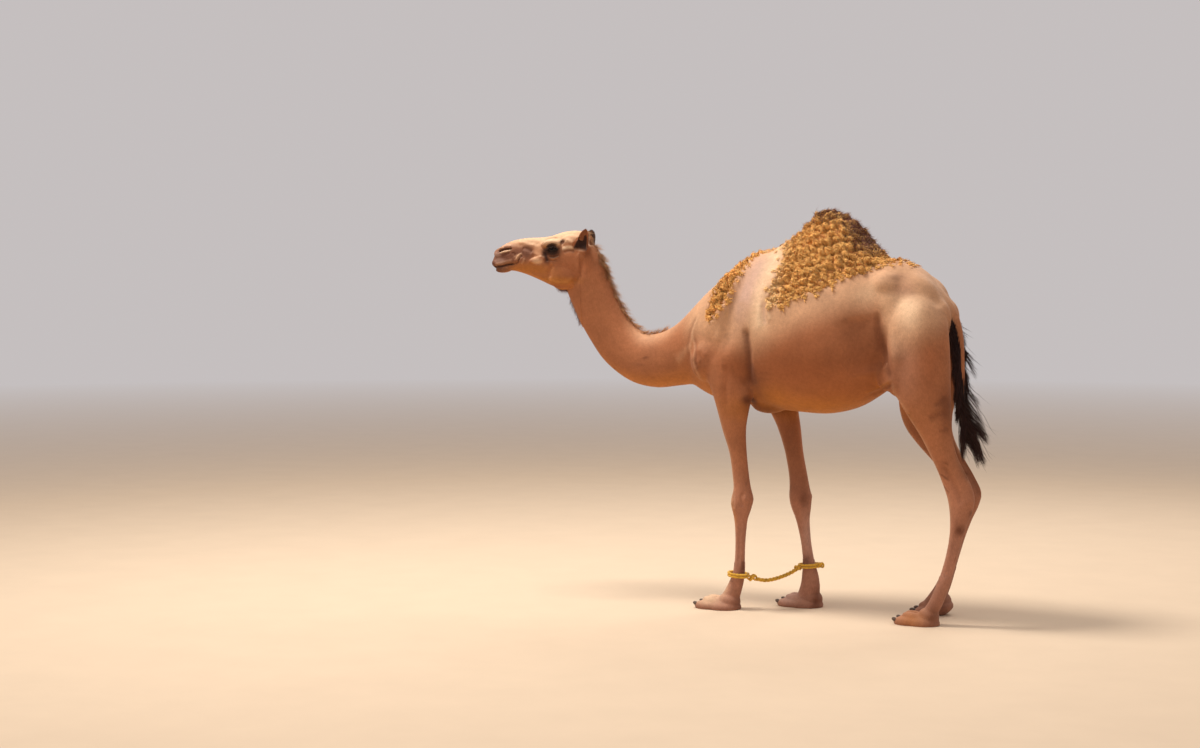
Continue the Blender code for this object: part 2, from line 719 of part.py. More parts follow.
def nail_form(foot, out):
    toe_x, heel_x, y, half, tilt = FEET[foot]
    length = heel_x - toe_x
    bm = bmesh.new()
    bmesh.ops.create_uvsphere(bm, u_segments=8, v_segments=6, radius=1.0)
    height = NAIL_HEIGHT + 0.20 * length * math.sin(tilt)
    matrix = (
        Matrix.Translation(on_floor(toe_x + 0.050 * length, y + out * NAIL_OUT * half, height))
        @ Matrix.Rotation(math.radians(24), 4, "Y")
        @ Matrix.Diagonal((*NAIL_RADII, 1.0))
    )
    bmesh.ops.transform(bm, matrix=matrix, verts=bm.verts)
    pivot = on_floor(toe_x + 0.25 * length, y, 0)
    turn = Matrix.Translation(pivot) @ Matrix.Rotation(-tilt, 4, "Y") @ Matrix.Translation(-pivot)
    bmesh.ops.transform(bm, matrix=turn, verts=bm.verts)
    return bm


def hair_form(rows):
    """A hanging lock: each row gives x, y, z, half depth and half width."""
    bm = bmesh.new()
    loops = []
    table = smooth_rows(rows, between=2)
    for row, ahead in zip(table, np.gradient(table, axis=0)):
        x, y, z, depth, half = row
        run = Vector((ahead[0], ahead[1], ahead[2])).normalized()
        side = Vector((0, 1, 0))
        up = run.cross(side).normalized()
        loops.append(add_ring(bm, place(x, y, z), side, up, half, depth, depth, points=HAIR_POINTS))
    close_loft(bm, loops)
    return bm


# ---- the rope hobble -------------------------------------------------------------------
def curve_tube(name, points, radius, closed, collection):
    """A round tube along the points, as a curve object."""
    curve = bpy.data.curves.new(name, "CURVE")
    curve.dimensions = "3D"
    curve.bevel_depth = radius
    curve.bevel_resolution = 2
    curve.use_fill_caps = not closed
    spline = curve.splines.new("POLY")
    spline.points.add(len(points) - 1)
    for point, place_ in zip(spline.points, points):
        point.co = (*place_, 1.0)
    spline.use_cyclic_u = closed
    obj = bpy.data.objects.new(name, curve)
    collection.objects.link(obj)
    return obj


def pastern_loop(x, y, z, half_length, half_width, fall):
    """Points round a pastern; fall is how much lower the loop lies in front than behind."""
    points = []
    for i in range(LOOP_POINTS):
        angle = 2 * math.pi * i / LOOP_POINTS
        run = math.cos(angle)
        points.append(
            place(x + half_length * run, y + half_width * math.sin(angle), z + fall * run)
        )
    return points


def smooth_route(route, count):
    """Evenly spread points on the smooth curve through the route's own points."""
    fine = smooth_rows(route, between=24)
    steps = np.linalg.norm(np.diff(fine, axis=0), axis=1)
    far = np.concatenate([[0.0], np.cumsum(steps)])
    wanted = np.linspace(0, far[-1], count)
    return [place(*(np.interp(w, far, fine[:, i]) for i in range(3))) for w in wanted]


def tube_room(points, radius, closed, collection):
    """A mesh just larger than a rope, to cut the knots with."""
    curve = curve_tube("rope_room", points, radius + GAP, closed, collection)
    bpy.context.view_layer.update()
    graph = bpy.context.evaluated_depsgraph_get()
    mesh = bpy.data.meshes.new_from_object(curve.evaluated_get(graph))
    bpy.data.objects.remove(curve)
    bm = bmesh.new()
    bm.from_mesh(mesh)
    bmesh.ops.remove_doubles(bm, verts=bm.verts, dist=1e-5)
    bmesh.ops.recalc_face_normals(bm, faces=bm.faces)
    return mesh_object("rope_room", bm, collection)


# ---- finishes --------------------------------------------------------------------------
def finish(name, colour, roughness):
    material = bpy.data.materials.new(name)
    material.use_nodes = True
    shader = material.node_tree.nodes["Principled BSDF"]
    shader.inputs["Base Color"].default_value = (*colour, 1.0)
    shader.inputs["Roughness"].default_value = roughness
    shader.inputs["Metallic"].default_value = 0.0
    return material


def dress(obj, material):
    obj.data.materials.clear()
    obj.data.materials.append(material)


def collection_named(name):
    found = bpy.data.collections.new(name)
    bpy.context.scene.collection.children.link(found)
    return found


# ---- the model -------------------------------------------------------------------------
def main():
    for obj in list(bpy.data.objects):
        bpy.data.objects.remove(obj)
    camel = collection_named("dromedary_camel")
    cutters = collection_named("cutters")

    coat = finish("short tan coat", (0.42, 0.26, 0.16), 0.85)
    wool = finish("matted ochre wool", (0.44, 0.27, 0.10), 0.95)
    dark_hair = finish("dark tail hair", (0.030, 0.022, 0.020), 0.70)
    eye_gloss = finish("dark wet eye", (0.012, 0.009, 0.008), 0.08)
    horn = finish("dark horn", (0.09, 0.07, 0.06), 0.50)
    rope = finish("yellow rope", (0.60, 0.40, 0.08), 0.85)

    flesh = fused_body(camel)
    room = swollen(flesh, GAP, cutters)
    for side in (LEFT, RIGHT):
        socket = mesh_object("eye_socket", eye_ball(side, GAP), cutters)
        subtract(flesh, socket)
    subtract(flesh, cutter_slabs(cutters))
    pieces = part_flesh(flesh, camel)
    bpy.data.objects.remove(flesh)
    for name, piece in pieces.items():
        dress(piece, wool if name == "hump" else coat)

    for side, word in ((LEFT, "left"), (RIGHT, "right")):
        dress(mesh_object("eye_" + word, eye_ball(side), camel), eye_gloss)
        ear = mesh_object("ear_" + word, ear_form(side), camel)
        subtract(ear, room)
        dress(largest(ear), coat)
    for foot in FEET:
        for out, word in ((-1, "a"), (1, "b")):
            nail = mesh_object(foot.replace("foot", "nail_") + word, nail_form(foot, out), camel)
            subtract(nail, room)
            dress(largest(nail), horn)

    dock = mesh_object("tail_dock", dock_form(), camel)
    subtract(dock, room)
    dress(largest(dock), coat)
    dock_room = swollen(dock, GAP, cutters)
    switch = mesh_object("tail_hair", hair_form(SWITCH), camel)
    subtract(switch, dock_room)
    subtract(switch, room)
    dress(largest(switch), dark_hair)

    ropes = [
        ("hobble_loop_left", pastern_loop(*LEFT_LOOP), LOOP_RADIUS, True),
        ("hobble_loop_right", pastern_loop(*RIGHT_LOOP), LOOP_RADIUS, True),
        ("hobble_span", smooth_route(SPAN, SPAN_POINTS), ROPE_RADIUS, False),
    ]
    rooms = [room]
    for name, points, radius, closed in ropes:
        dress(curve_tube(name, points, radius, closed, camel), rope)
        rooms.append(tube_room(points, radius, closed, cutters))
    for name, centre, radii, turn in KNOTS:
        knot = mesh_object(name, muscle(place(*centre), radii, turn=turn, fineness=6), camel)
        for taken in rooms:
            subtract(knot, taken)
        dress(largest(knot), rope)

    for obj in cutters.objects:
        obj.hide_render = True
        obj.display_type = "WIRE"


if __name__ == "__main__":
    main()
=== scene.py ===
"""The looks of a dromedary cow in a rope hobble, life size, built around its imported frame.

Metres, +Z up. The animal faces -X, its left side is -Y, and it stands on z = 0.
In order: sizes and tones, tables of sections and marks, the solid shapes, the skin, the coat, the tail,
the eyes and nails, the rope, the finishes, the stage, and main(), which makes them.
"""

import math

import bmesh
import bpy
import numpy as np
from mathutils import Matrix, Vector


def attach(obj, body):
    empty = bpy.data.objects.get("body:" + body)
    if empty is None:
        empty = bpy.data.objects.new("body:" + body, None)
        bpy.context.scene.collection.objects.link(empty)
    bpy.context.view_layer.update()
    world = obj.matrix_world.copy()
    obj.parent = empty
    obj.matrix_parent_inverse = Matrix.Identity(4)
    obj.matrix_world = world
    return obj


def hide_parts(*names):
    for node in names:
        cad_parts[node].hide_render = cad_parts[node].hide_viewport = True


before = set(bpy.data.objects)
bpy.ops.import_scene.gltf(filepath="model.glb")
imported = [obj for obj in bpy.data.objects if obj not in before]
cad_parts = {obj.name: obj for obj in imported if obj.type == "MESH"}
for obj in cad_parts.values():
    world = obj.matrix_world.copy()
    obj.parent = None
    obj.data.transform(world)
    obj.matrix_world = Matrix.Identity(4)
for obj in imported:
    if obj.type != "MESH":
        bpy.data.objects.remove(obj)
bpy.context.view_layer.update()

# ---- driving dimensions ----
MIDDLE_X = -0.0346  # the middle of the animal's length, in the drawing's own x
FLOOR_Z = 0.028  # the floor, in the drawing's own z
DRAWING = np.array([MIDDLE_X, 0.0, FLOOR_Z])
LEFT, RIGHT = -1, 1
BOTH = (LEFT, RIGHT)
HEAD_YAW = math.radians(17)  # the head looks a little to the animal's left
NOSE = Vector((-1.385, -0.205, 1.846))
HEAD_END = -0.9  # the drawing's x at which the head meets the neck
EYE = (0.354, 0.072, 0.068)  # back from the nose, up, out to the side
EYE_RADIUS = 0.026
EYE_BULGE = 0.055  # of the clear front, as a share of the radius
LID_RADIUS = 0.0298
EYE_AXIS = (-0.2, 0.06, 0.98)  # back, up, out: the way the eye looks
APERTURE = (0.025, 0.0118, 0.0112)  # half length, reach of the upper and of the lower lid
SOCKET_RADIUS = 0.0205
EAR_TAPER = 0.14  # how much narrower the ear gets upwards
EAR_HOLLOW = 0.009  # how much deeper the skin makes the ear's cup
SOLE_TILT = math.radians(17)  # of the resting right hind foot, heel raised

RING_POINTS = 48
RINGS_BETWEEN = 4
SKIN_VOXEL = 0.0034
WIDEST_SMOOTHING = 0.028
HEAD_SMOOTHING = 0.0032
LEG_SMOOTHING = 0.006
SKIN_TRIANGLES = 192000
BODY_SHARE = 0.46  # of the skin's triangles that the body behind the head gets
COAT_DEPTH = 0.0035
WOOL_DEPTH = 0.014
WITHERS_END = 0.16  # the drawing's x at which the hump's wool begins
CLUMP_LENGTH = 0.034  # from one clump of wool to the next
WOOL_LUMPS = 0.0065  # how far the clumps swell and sink
MOUTH_ROW, NOSTRIL_ROW = 4, 0  # of the head's strokes
PATCH = 0.003  # each tuft's patch of the bake map
DENSITY = 1.0
NO_SLIT = 0.011  # half width of the hairless strip along mouth and nostril
LOWEST_HAIR = 0.0015  # no hair reaches nearer to the floor

# ---- colours, linear ----
TAN = (0.362, 0.133, 0.056)
ROSY = (0.4, 0.19, 0.128)
RUSSET = (0.3, 0.088, 0.028)
OCHRE = (0.44, 0.155, 0.026)
PALE = (0.585, 0.328, 0.182)
CREAM = (0.78, 0.54, 0.34)
LILAC = (0.54, 0.35, 0.28)
MAUVE = (0.125, 0.05, 0.032)
BROWN = (0.105, 0.029, 0.012)
DARK = (0.026, 0.011, 0.008)
# The wool's tip colour is a painted highlight on the crowns of its clumps, and its root colour is painted
# shade in the gaps between them.
WOOL = (0.86, 0.44, 0.115)
WOOL_TIP_HIGHLIGHT = (0.97, 0.62, 0.23)
WOOL_PALE = (0.96, 0.69, 0.37)
WOOL_GAP_SHADE = (0.52, 0.215, 0.058)
CREST = (0.12, 0.044, 0.032)
CREST_TIP = (0.34, 0.15, 0.095)
TAIL_BLACK = (0.022, 0.008, 0.006)
MANE_TIP = (0.62, 0.36, 0.16)
NAPE_TIP = (0.46, 0.22, 0.09)
THROAT_TIP = (0.3, 0.125, 0.065)

WORLD_TONE = (0.93, 0.87, 0.87)
WORLD_STRENGTH = 0.6
FLOOR_TONE = (0.7, 0.55, 0.4)
# name, place, what it points at, size, power, colour
LIGHTS = [
    ("key", (-2.4, -1.2, 7.2), (0.1, 0.0, 1.2), 2.2, 520, (1.0, 0.95, 0.88)),
    ("fill", (4.5, -7.5, 2.6), (0.0, 0.0, 1.2), 4.0, 20, (1.0, 0.86, 0.72)),
    ("back", (1.5, 4.5, 5.5), (0.0, 0.0, 1.4), 3.0, 120, (1.0, 0.96, 0.92)),
]
CAMERA_AT = (3.7492, -9.3143, 1.672)
CAMERA_DIP = 2.539  # degrees below level
CAMERA_TURN = math.radians(26)
CAMERA_LENS = 56.82
FLOOR_RADIUS = 60.0
FLOOR_DROP = 0.0005  # how far the stage's floor lies under the soles

# ---- stations: each row is one section ----
# x, top, widest level, bottom, half width
TRUNK = [
    (-0.3, 1.53, 1.37, 1.22, 0.1), (-0.22, 1.63, 1.38, 1.165, 0.15), (-0.1, 1.77, 1.41, 1.115, 0.195),
    (0.05, 1.89, 1.44, 1.1, 0.222), (0.2, 1.922, 1.44, 1.075, 0.258), (0.35, 1.912, 1.42, 1.062, 0.29),
    (0.5, 1.905, 1.41, 1.058, 0.306), (0.65, 1.89, 1.42, 1.092, 0.292), (0.77, 1.872, 1.46, 1.16, 0.246),
    (0.88, 1.862, 1.56, 1.24, 0.205), (1.0, 1.8, 1.6, 1.32, 0.178), (1.09, 1.695, 1.57, 1.38, 0.14),
    (1.145, 1.6, 1.52, 1.43, 0.08),
]
# z, front x, rear x, half width
HUMP = [
    (1.66, 0.05, 0.92, 0.248), (1.78, 0.11, 0.86, 0.218), (1.87, 0.165, 0.805, 0.18),
    (1.93, 0.215, 0.742, 0.146), (1.98, 0.296, 0.706, 0.118), (2.03, 0.346, 0.668, 0.09),
    (2.07, 0.382, 0.624, 0.066), (2.1, 0.414, 0.572, 0.042), (2.12, 0.44, 0.532, 0.022),
]
# x, y, z of the middle, half depth, half width, lean of the section from upright (degrees)
NECK = [
    (-0.12, 0.0, 1.48, 0.29, 0.19, -8), (-0.2, 0.0, 1.455, 0.262, 0.172, -9),
    (-0.336, 0.0, 1.372, 0.19, 0.138, -6), (-0.44, 0.0, 1.334, 0.168, 0.12, -12),
    (-0.549, 0.0, 1.328, 0.149, 0.107, -20), (-0.634, -0.002, 1.357, 0.138, 0.099, -30),
    (-0.713, -0.006, 1.423, 0.137, 0.094, -37), (-0.762, -0.014, 1.492, 0.133, 0.091, -47),
    (-0.812, -0.024, 1.578, 0.131, 0.09, -57), (-0.852, -0.036, 1.673, 0.132, 0.09, -58),
    (-0.888, -0.05, 1.776, 0.136, 0.092, -56), (-0.925, -0.064, 1.86, 0.134, 0.09, -46),
]
# back from the nose, top, widest level, bottom, half width
SKULL = [
    (0.004, 0.022, 0.004, -0.014, 0.02), (0.018, 0.052, 0.006, -0.026, 0.038),
    (0.045, 0.088, 0.016, -0.032, 0.05), (0.085, 0.113, 0.022, -0.038, 0.054),
    (0.135, 0.13, 0.028, -0.044, 0.051), (0.2, 0.14, 0.03, -0.064, 0.054),
    (0.27, 0.142, 0.03, -0.094, 0.066), (0.33, 0.15, 0.03, -0.122, 0.08), (0.395, 0.17, 0.03, -0.144, 0.09),
    (0.455, 0.178, 0.03, -0.146, 0.09), (0.505, 0.172, 0.03, -0.12, 0.084),
    (0.55, 0.138, 0.03, -0.08, 0.07),
]
# z, front x, rear x, y, half width; the right legs are given at +y and the left at -y
FORE_LEFT = [
    (1.34, -0.155, 0.1, 0.15, 0.07), (1.22, -0.12, 0.118, 0.158, 0.074),
    (1.13, -0.088, 0.122, 0.158, 0.068), (1.05, -0.066, 0.104, 0.152, 0.06),
    (0.97, -0.044, 0.09, 0.148, 0.054), (0.85, -0.006, 0.092, 0.142, 0.047),
    (0.73, 0.01, 0.104, 0.137, 0.044), (0.665, 0.014, 0.114, 0.134, 0.048),
    (0.61, 0.002, 0.126, 0.132, 0.057), (0.555, 0.007, 0.112, 0.131, 0.052),
    (0.49, 0.018, 0.092, 0.13, 0.036), (0.38, 0.022, 0.08, 0.128, 0.029),
    (0.26, 0.016, 0.076, 0.126, 0.031), (0.205, 0.004, 0.074, 0.125, 0.038),
    (0.15, -0.022, 0.064, 0.125, 0.042), (0.1, -0.05, 0.05, 0.125, 0.046),
    (0.06, -0.07, 0.04, 0.125, 0.048),
]
FORE_RIGHT = [
    (1.34, -0.075, 0.18, 0.152, 0.07), (1.22, -0.01, 0.222, 0.16, 0.074), (1.13, 0.056, 0.256, 0.16, 0.068),
    (1.05, 0.106, 0.27, 0.155, 0.06), (0.97, 0.15, 0.284, 0.15, 0.054), (0.85, 0.194, 0.3, 0.142, 0.047),
    (0.73, 0.22, 0.326, 0.135, 0.044), (0.665, 0.226, 0.34, 0.132, 0.048),
    (0.605, 0.226, 0.352, 0.13, 0.057), (0.55, 0.238, 0.35, 0.129, 0.052),
    (0.485, 0.264, 0.344, 0.128, 0.037), (0.375, 0.292, 0.352, 0.126, 0.03),
    (0.26, 0.306, 0.374, 0.124, 0.032), (0.205, 0.304, 0.392, 0.123, 0.04),
    (0.15, 0.298, 0.402, 0.122, 0.044), (0.1, 0.282, 0.402, 0.122, 0.048),
    (0.06, 0.262, 0.394, 0.122, 0.05),
]
HIND_LEFT = [
    (1.62, 0.86, 1.13, 0.105, 0.08), (1.5, 0.826, 1.158, 0.135, 0.098), (1.36, 0.858, 1.172, 0.15, 0.104),
    (1.24, 0.884, 1.178, 0.16, 0.096), (1.14, 0.916, 1.183, 0.165, 0.084),
    (1.06, 0.966, 1.187, 0.166, 0.072), (0.97, 1.026, 1.192, 0.165, 0.06),
    (0.88, 1.074, 1.216, 0.163, 0.05), (0.8, 1.112, 1.256, 0.16, 0.043), (0.73, 1.14, 1.29, 0.158, 0.041),
    (0.665, 1.162, 1.304, 0.156, 0.046), (0.6, 1.172, 1.29, 0.154, 0.046),
    (0.53, 1.174, 1.262, 0.152, 0.037), (0.46, 1.168, 1.24, 0.15, 0.031), (0.37, 1.15, 1.218, 0.148, 0.029),
    (0.28, 1.124, 1.192, 0.147, 0.032), (0.2, 1.094, 1.166, 0.146, 0.039),
    (0.14, 1.066, 1.144, 0.145, 0.041), (0.09, 1.032, 1.12, 0.145, 0.044),
    (0.055, 1.01, 1.11, 0.145, 0.046),
]
HIND_RIGHT = [
    (1.62, 0.85, 1.12, 0.105, 0.08), (1.5, 0.806, 1.142, 0.135, 0.098), (1.36, 0.812, 1.146, 0.152, 0.104),
    (1.24, 0.806, 1.136, 0.164, 0.096), (1.14, 0.806, 1.116, 0.172, 0.086),
    (1.06, 0.816, 1.098, 0.176, 0.076), (0.98, 0.848, 1.096, 0.178, 0.064),
    (0.9, 0.912, 1.124, 0.178, 0.054), (0.82, 0.988, 1.172, 0.178, 0.046),
    (0.75, 1.052, 1.214, 0.178, 0.042), (0.67, 1.104, 1.25, 0.178, 0.046),
    (0.6, 1.118, 1.236, 0.177, 0.046), (0.53, 1.116, 1.204, 0.176, 0.037),
    (0.44, 1.098, 1.17, 0.175, 0.031), (0.34, 1.072, 1.14, 0.174, 0.029),
    (0.25, 1.044, 1.114, 0.174, 0.033), (0.185, 1.014, 1.096, 0.173, 0.041),
    (0.13, 0.978, 1.076, 0.173, 0.044), (0.095, 0.95, 1.068, 0.172, 0.046),
]
LEGS = ((FORE_LEFT, LEFT), (FORE_RIGHT, RIGHT), (HIND_LEFT, LEFT), (HIND_RIGHT, RIGHT))
# x, z, half depth, half width of the dock, hanging between the buttocks
DOCK = [
    (1.045, 1.69, 0.045, 0.05), (1.1, 1.64, 0.034, 0.036), (1.15, 1.56, 0.026, 0.028),
    (1.178, 1.45, 0.022, 0.025), (1.188, 1.3, 0.018, 0.022), (1.196, 1.16, 0.013, 0.016),
    (1.206, 1.06, 0.008, 0.01),
]

NAIL_RADII = (0.019, 0.014, 0.011)
NAIL_HEIGHT = 0.021
NAIL_OUT = 0.5  # of the foot's half width
STRAND_RADIUS = 0.0056
LAID_RADIUS = 0.0051  # of each of the three strands of the free span
LAID_APART = 1.155  # from the middle of the span to that of a strand, in strand radii
LAID_PITCH = 0.06  # length of one turn of the three strands
LOBE_POINTS = 18  # round the cord's three-lobed section
LOOP_TURNS = 2
LOOP_RISE = 0.0062  # of one turn of the loop above the other
LOOP_START = 0.6  # angle at which the loop's cord begins
LOOP_RADIUS = 0.007
LOOP_POINTS = 44  # in each turn
KNOT_POINTS = 90
STRAND_TWIST = 0.02  # length of one turn of a strand's own lay
LOOP_TWIST = 0.045
# x, y, z of the middle; radii along x, y, z; lean (top forwards); on which sides
BODY_MUSCLES = [
    ((-0.04, 0.13, 1.58), (0.115, 0.085, 0.25), -20, BOTH),  # shoulder blade
    ((-0.13, 0.14, 1.34), (0.095, 0.08, 0.125), -10, (LEFT,)),  # point of the shoulder
    ((-0.11, 0.14, 1.33), (0.095, 0.08, 0.125), -10, (RIGHT,)),
    ((0.035, 0.15, 1.35), (0.12, 0.086, 0.19), -18, (LEFT,)),  # upper arm
    ((0.115, 0.15, 1.32), (0.14, 0.086, 0.19), -26, (RIGHT,)),
    ((0.088, 0.165, 1.155), (0.044, 0.048, 0.07), 0, (LEFT,)),  # elbow
    ((0.232, 0.168, 1.14), (0.048, 0.048, 0.07), 0, (RIGHT,)),
    ((0.165, 0.0, 1.105), (0.105, 0.088, 0.056), 0, (RIGHT,)),  # chest pad
    ((1.0, 0.14, 1.45), (0.155, 0.115, 0.24), 6, BOTH),  # thigh
    ((0.925, 0.165, 1.36), (0.09, 0.085, 0.2), -8, BOTH),  # front of the thigh
    ((0.84, 0.135, 1.715), (0.095, 0.07, 0.08), 0, BOTH),  # point of the hip
    ((0.96, 0.08, 1.68), (0.15, 0.098, 0.108), -26, BOTH),  # croup
    ((1.075, 0.08, 1.56), (0.08, 0.065, 0.11), 0, BOTH),  # seat bone
    ((0.868, 0.14, 1.29), (0.07, 0.06, 0.11), -20, BOTH),  # fold of the flank
]
# back from the nose, up, out; radii back, out, up; lean; on both sides unless out is zero
HEAD_FORMS = [
    ((0.066, 0.052, 0.03), (0.052, 0.026, 0.036), 0),  # nostril wing
    ((0.04, 0.002, 0.02), (0.04, 0.028, 0.03), 0),  # upper lip, split in the middle
    ((0.064, -0.034, 0.0), (0.046, 0.038, 0.018), 4),  # lower lip
    ((0.16, 0.022, 0.036), (0.06, 0.022, 0.034), 0),  # cheek pouch
    ((0.345, 0.106, 0.06), (0.064, 0.036, 0.026), 6),  # brow
    ((0.31, 0.026, 0.052), (0.1, 0.026, 0.026), 10),  # cheek bone
    ((0.405, -0.06, 0.058), (0.086, 0.034, 0.086), -12),  # jaw muscle
    ((0.45, 0.1, 0.056), (0.07, 0.034, 0.056), 0),  # temple
    ((0.52, 0.07, 0.056), (0.036, 0.04, 0.05), 0),  # root of the ear
]
# back, up, out of the ear's base and tip
EAR_BASE = (0.515, 0.06, 0.078)
EAR_TIP = (0.534, 0.188, 0.112)
EAR_HALF_WIDTH = 0.036
EAR_THICKNESS = 0.009
EAR_CUP = 0.026
EAR_FACING = (-0.45, 0.05, 0.9)  # back, up, out: the way the hollow of the ear looks

# toe x, heel x, y, half width of each foot, and its lift
FEET = {
    "foreleg_left_foot": (-0.192, 0.052, -0.13, 0.088, 0.0),
    "foreleg_right_foot": (0.174, 0.416, 0.126, 0.088, 0.0),
    "hindleg_left_foot": (0.898, 1.126, -0.15, 0.078, 0.0),
    "hindleg_right_foot": (0.9, 1.112, 0.182, 0.076, SOLE_TILT),
}

# x, y, z of the middle, half length, half width, fall towards the front
LEFT_LOOP = (0.04, -0.1255, 0.211, 0.0515, 0.053, -0.004)
RIGHT_LOOP = (0.343, 0.1235, 0.246, 0.054, 0.0505, 0.004)
# the rope between the two knots: x, y, z
SPAN = [
    (0.124, -0.088, 0.188), (0.164, -0.062, 0.18), (0.2, -0.032, 0.184), (0.236, 0.002, 0.196),
    (0.27, 0.038, 0.213), (0.29, 0.062, 0.228),
]
# name, x, y, z, radii, turn
KNOTS = [
    ("hobble_knot_left", (0.106, -0.098, 0.195), (0.034, 0.024, 0.026), 28),
    ("hobble_knot_right", (0.297, 0.076, 0.236), (0.022, 0.02, 0.02), 40),
    ("hobble_end", (0.404, 0.122, 0.251), (0.024, 0.019, 0.022), 0),
]


# ---- folds, tendons and marks ----
# Each is drawn in side view: sides, half width, height, how much its colour covers, colour, route of (x, z)
BODY_STROKES = [
    # Painted shade in the hollow behind each upper arm.
    ((LEFT,), 0.02, -0.016, 0.6, BROWN,
     [(0.112, 1.51), (0.124, 1.45), (0.134, 1.39), (0.13, 1.32), (0.112, 1.2)]),
    ((RIGHT,), 0.02, -0.016, 0.38, BROWN,
     [(0.19, 1.5), (0.206, 1.44), (0.226, 1.36), (0.245, 1.28), (0.258, 1.18)]),
    # The folds at the base of the neck: cream and pale on their ridges as painted highlight, brown in their
    # grooves as painted shade.
    (BOTH, 0.008, 0.002, 0.14, CREAM,
     [(-0.214, 1.486), (-0.184, 1.38), (-0.185, 1.32), (-0.167, 1.265), (-0.15, 1.22)]),
    (BOTH, 0.009, -0.003, 0.3, BROWN, [(-0.198, 1.47), (-0.171, 1.38), (-0.17, 1.32), (-0.152, 1.27)]),
    (BOTH, 0.007, 0.0015, 0.12, CREAM,
     [(-0.173, 1.586), (-0.205, 1.494), (-0.221, 1.394), (-0.206, 1.318)]),
    (BOTH, 0.01, -0.003, 0.3, BROWN, [(-0.19, 1.57), (-0.222, 1.49), (-0.238, 1.4), (-0.226, 1.33)]),
    (BOTH, 0.018, 0.002, 0.35, PALE, [(-0.212, 1.425), (-0.245, 1.385), (-0.29, 1.338), (-0.32, 1.322)]),
    (BOTH, 0.075, -0.02, 0.0, TAN, [(0.735, 1.58), (0.748, 1.48), (0.768, 1.38), (0.8, 1.29)]),
    (BOTH, 0.045, 0.013, 0.0, TAN, [(0.862, 1.7), (0.882, 1.58), (0.902, 1.44), (0.93, 1.32)]),
    # Painted shade in the flank's hollow in front of the thigh.
    (BOTH, 0.018, -0.01, 0.45, BROWN,
     [(0.812, 1.6), (0.826, 1.5), (0.848, 1.4), (0.88, 1.3), (0.896, 1.24)]),
    (BOTH, 0.01, 0.006, 0.3, PALE, [(0.894, 1.247), (0.906, 1.185), (0.946, 1.125), (0.985, 1.08)]),
    # Painted shade in three creases at the back of the thighs, below the tail.
    (BOTH, 0.016, -0.003, 0.38, BROWN, [(1.165, 1.178), (1.145, 1.15), (1.115, 1.128)]),
    (BOTH, 0.018, -0.003, 0.38, BROWN, [(1.17, 1.1), (1.13, 1.082), (1.085, 1.066)]),
    (BOTH, 0.014, -0.002, 0.32, BROWN, [(1.18, 1.02), (1.16, 1.008), (1.135, 1.004)]),
    (BOTH, 0.01, 0.006, 0.35, OCHRE, [(0.725, 1.177), (0.823, 1.22), (0.898, 1.252)]),
    (BOTH, 0.01, -0.005, 0.45, BROWN, [(0.74, 1.162), (0.83, 1.202), (0.9, 1.232)]),
    ((LEFT,), 0.006, -0.003, 0.55, BROWN, [(1.128, 0.792), (1.15, 0.78), (1.186, 0.757)]),
    ((LEFT,), 0.006, -0.003, 0.5, BROWN, [(1.143, 0.732), (1.16, 0.716), (1.18, 0.696)]),
    ((LEFT,), 0.005, -0.002, 0.4, BROWN, [(1.15, 0.85), (1.168, 0.846), (1.182, 0.836)]),
    (BOTH, 0.012, -0.003, 0.55, BROWN, [(1.205, 0.98), (1.222, 0.9), (1.25, 0.82), (1.278, 0.75)]),
    (BOTH, 0.014, -0.007, 0.25, BROWN, [(1.15, 0.84), (1.19, 0.77), (1.228, 0.7), (1.246, 0.64)]),
    ((LEFT,), 0.006, -0.004, 0.6, BROWN, [(0.071, 0.29), (0.072, 0.262), (0.071, 0.236)]),
    ((LEFT,), 0.005, -0.003, 0.5, BROWN, [(0.026, 0.275), (0.027, 0.25)]),
    ((RIGHT,), 0.007, -0.005, 0.6, BROWN, [(0.272, 0.675), (0.29, 0.655), (0.31, 0.63), (0.318, 0.606)]),
    ((RIGHT,), 0.006, -0.004, 0.55, BROWN, [(0.262, 0.64), (0.282, 0.615), (0.3, 0.588), (0.336, 0.585)]),
    ((LEFT,), 0.01, -0.007, 0.0, TAN, [(0.02, 0.64), (0.03, 0.6), (0.026, 0.56)]),
    ((LEFT,), 0.01, -0.006, 0.0, TAN, [(0.084, 0.65), (0.08, 0.61), (0.084, 0.57)]),
    ((RIGHT,), 0.01, -0.006, 0.0, TAN, [(0.246, 0.62), (0.258, 0.58), (0.276, 0.54)]),
    (BOTH, 0.022, 0.007, 0.0, TAN, [(-0.07, 1.68), (-0.045, 1.6), (-0.03, 1.5), (-0.06, 1.42)]),
    (BOTH, 0.022, -0.007, 0.0, TAN, [(0.03, 1.7), (0.02, 1.58), (0.01, 1.46), (0.0, 1.36)]),
    (BOTH, 0.018, -0.006, 0.25, RUSSET, [(0.0, 1.32), (0.012, 1.24), (0.0, 1.16), (0.01, 1.08)]),
    (BOTH, 0.014, 0.004, 0.55, CREAM, [(0.188, 1.64), (0.196, 1.56), (0.206, 1.5)]),
    (BOTH, 0.009, 0.003, 0.45, CREAM, [(0.24, 1.64), (0.252, 1.585), (0.262, 1.545)]),
    (BOTH, 0.01, -0.004, 0.3, LILAC, [(0.215, 1.64), (0.226, 1.57), (0.236, 1.52)]),
    (BOTH, 0.02, 0.0, 0.45, MAUVE, [(0.14, 1.33), (0.15, 1.26), (0.16, 1.2)]),
]
# Lines down each cannon: how far back in its depth, half width, height
TENDONS = ((0.6, 0.007, -0.0032), (0.86, 0.008, 0.002), (0.3, 0.009, 0.0012))
CLEFT_DEPTH = 0.011  # between the toes
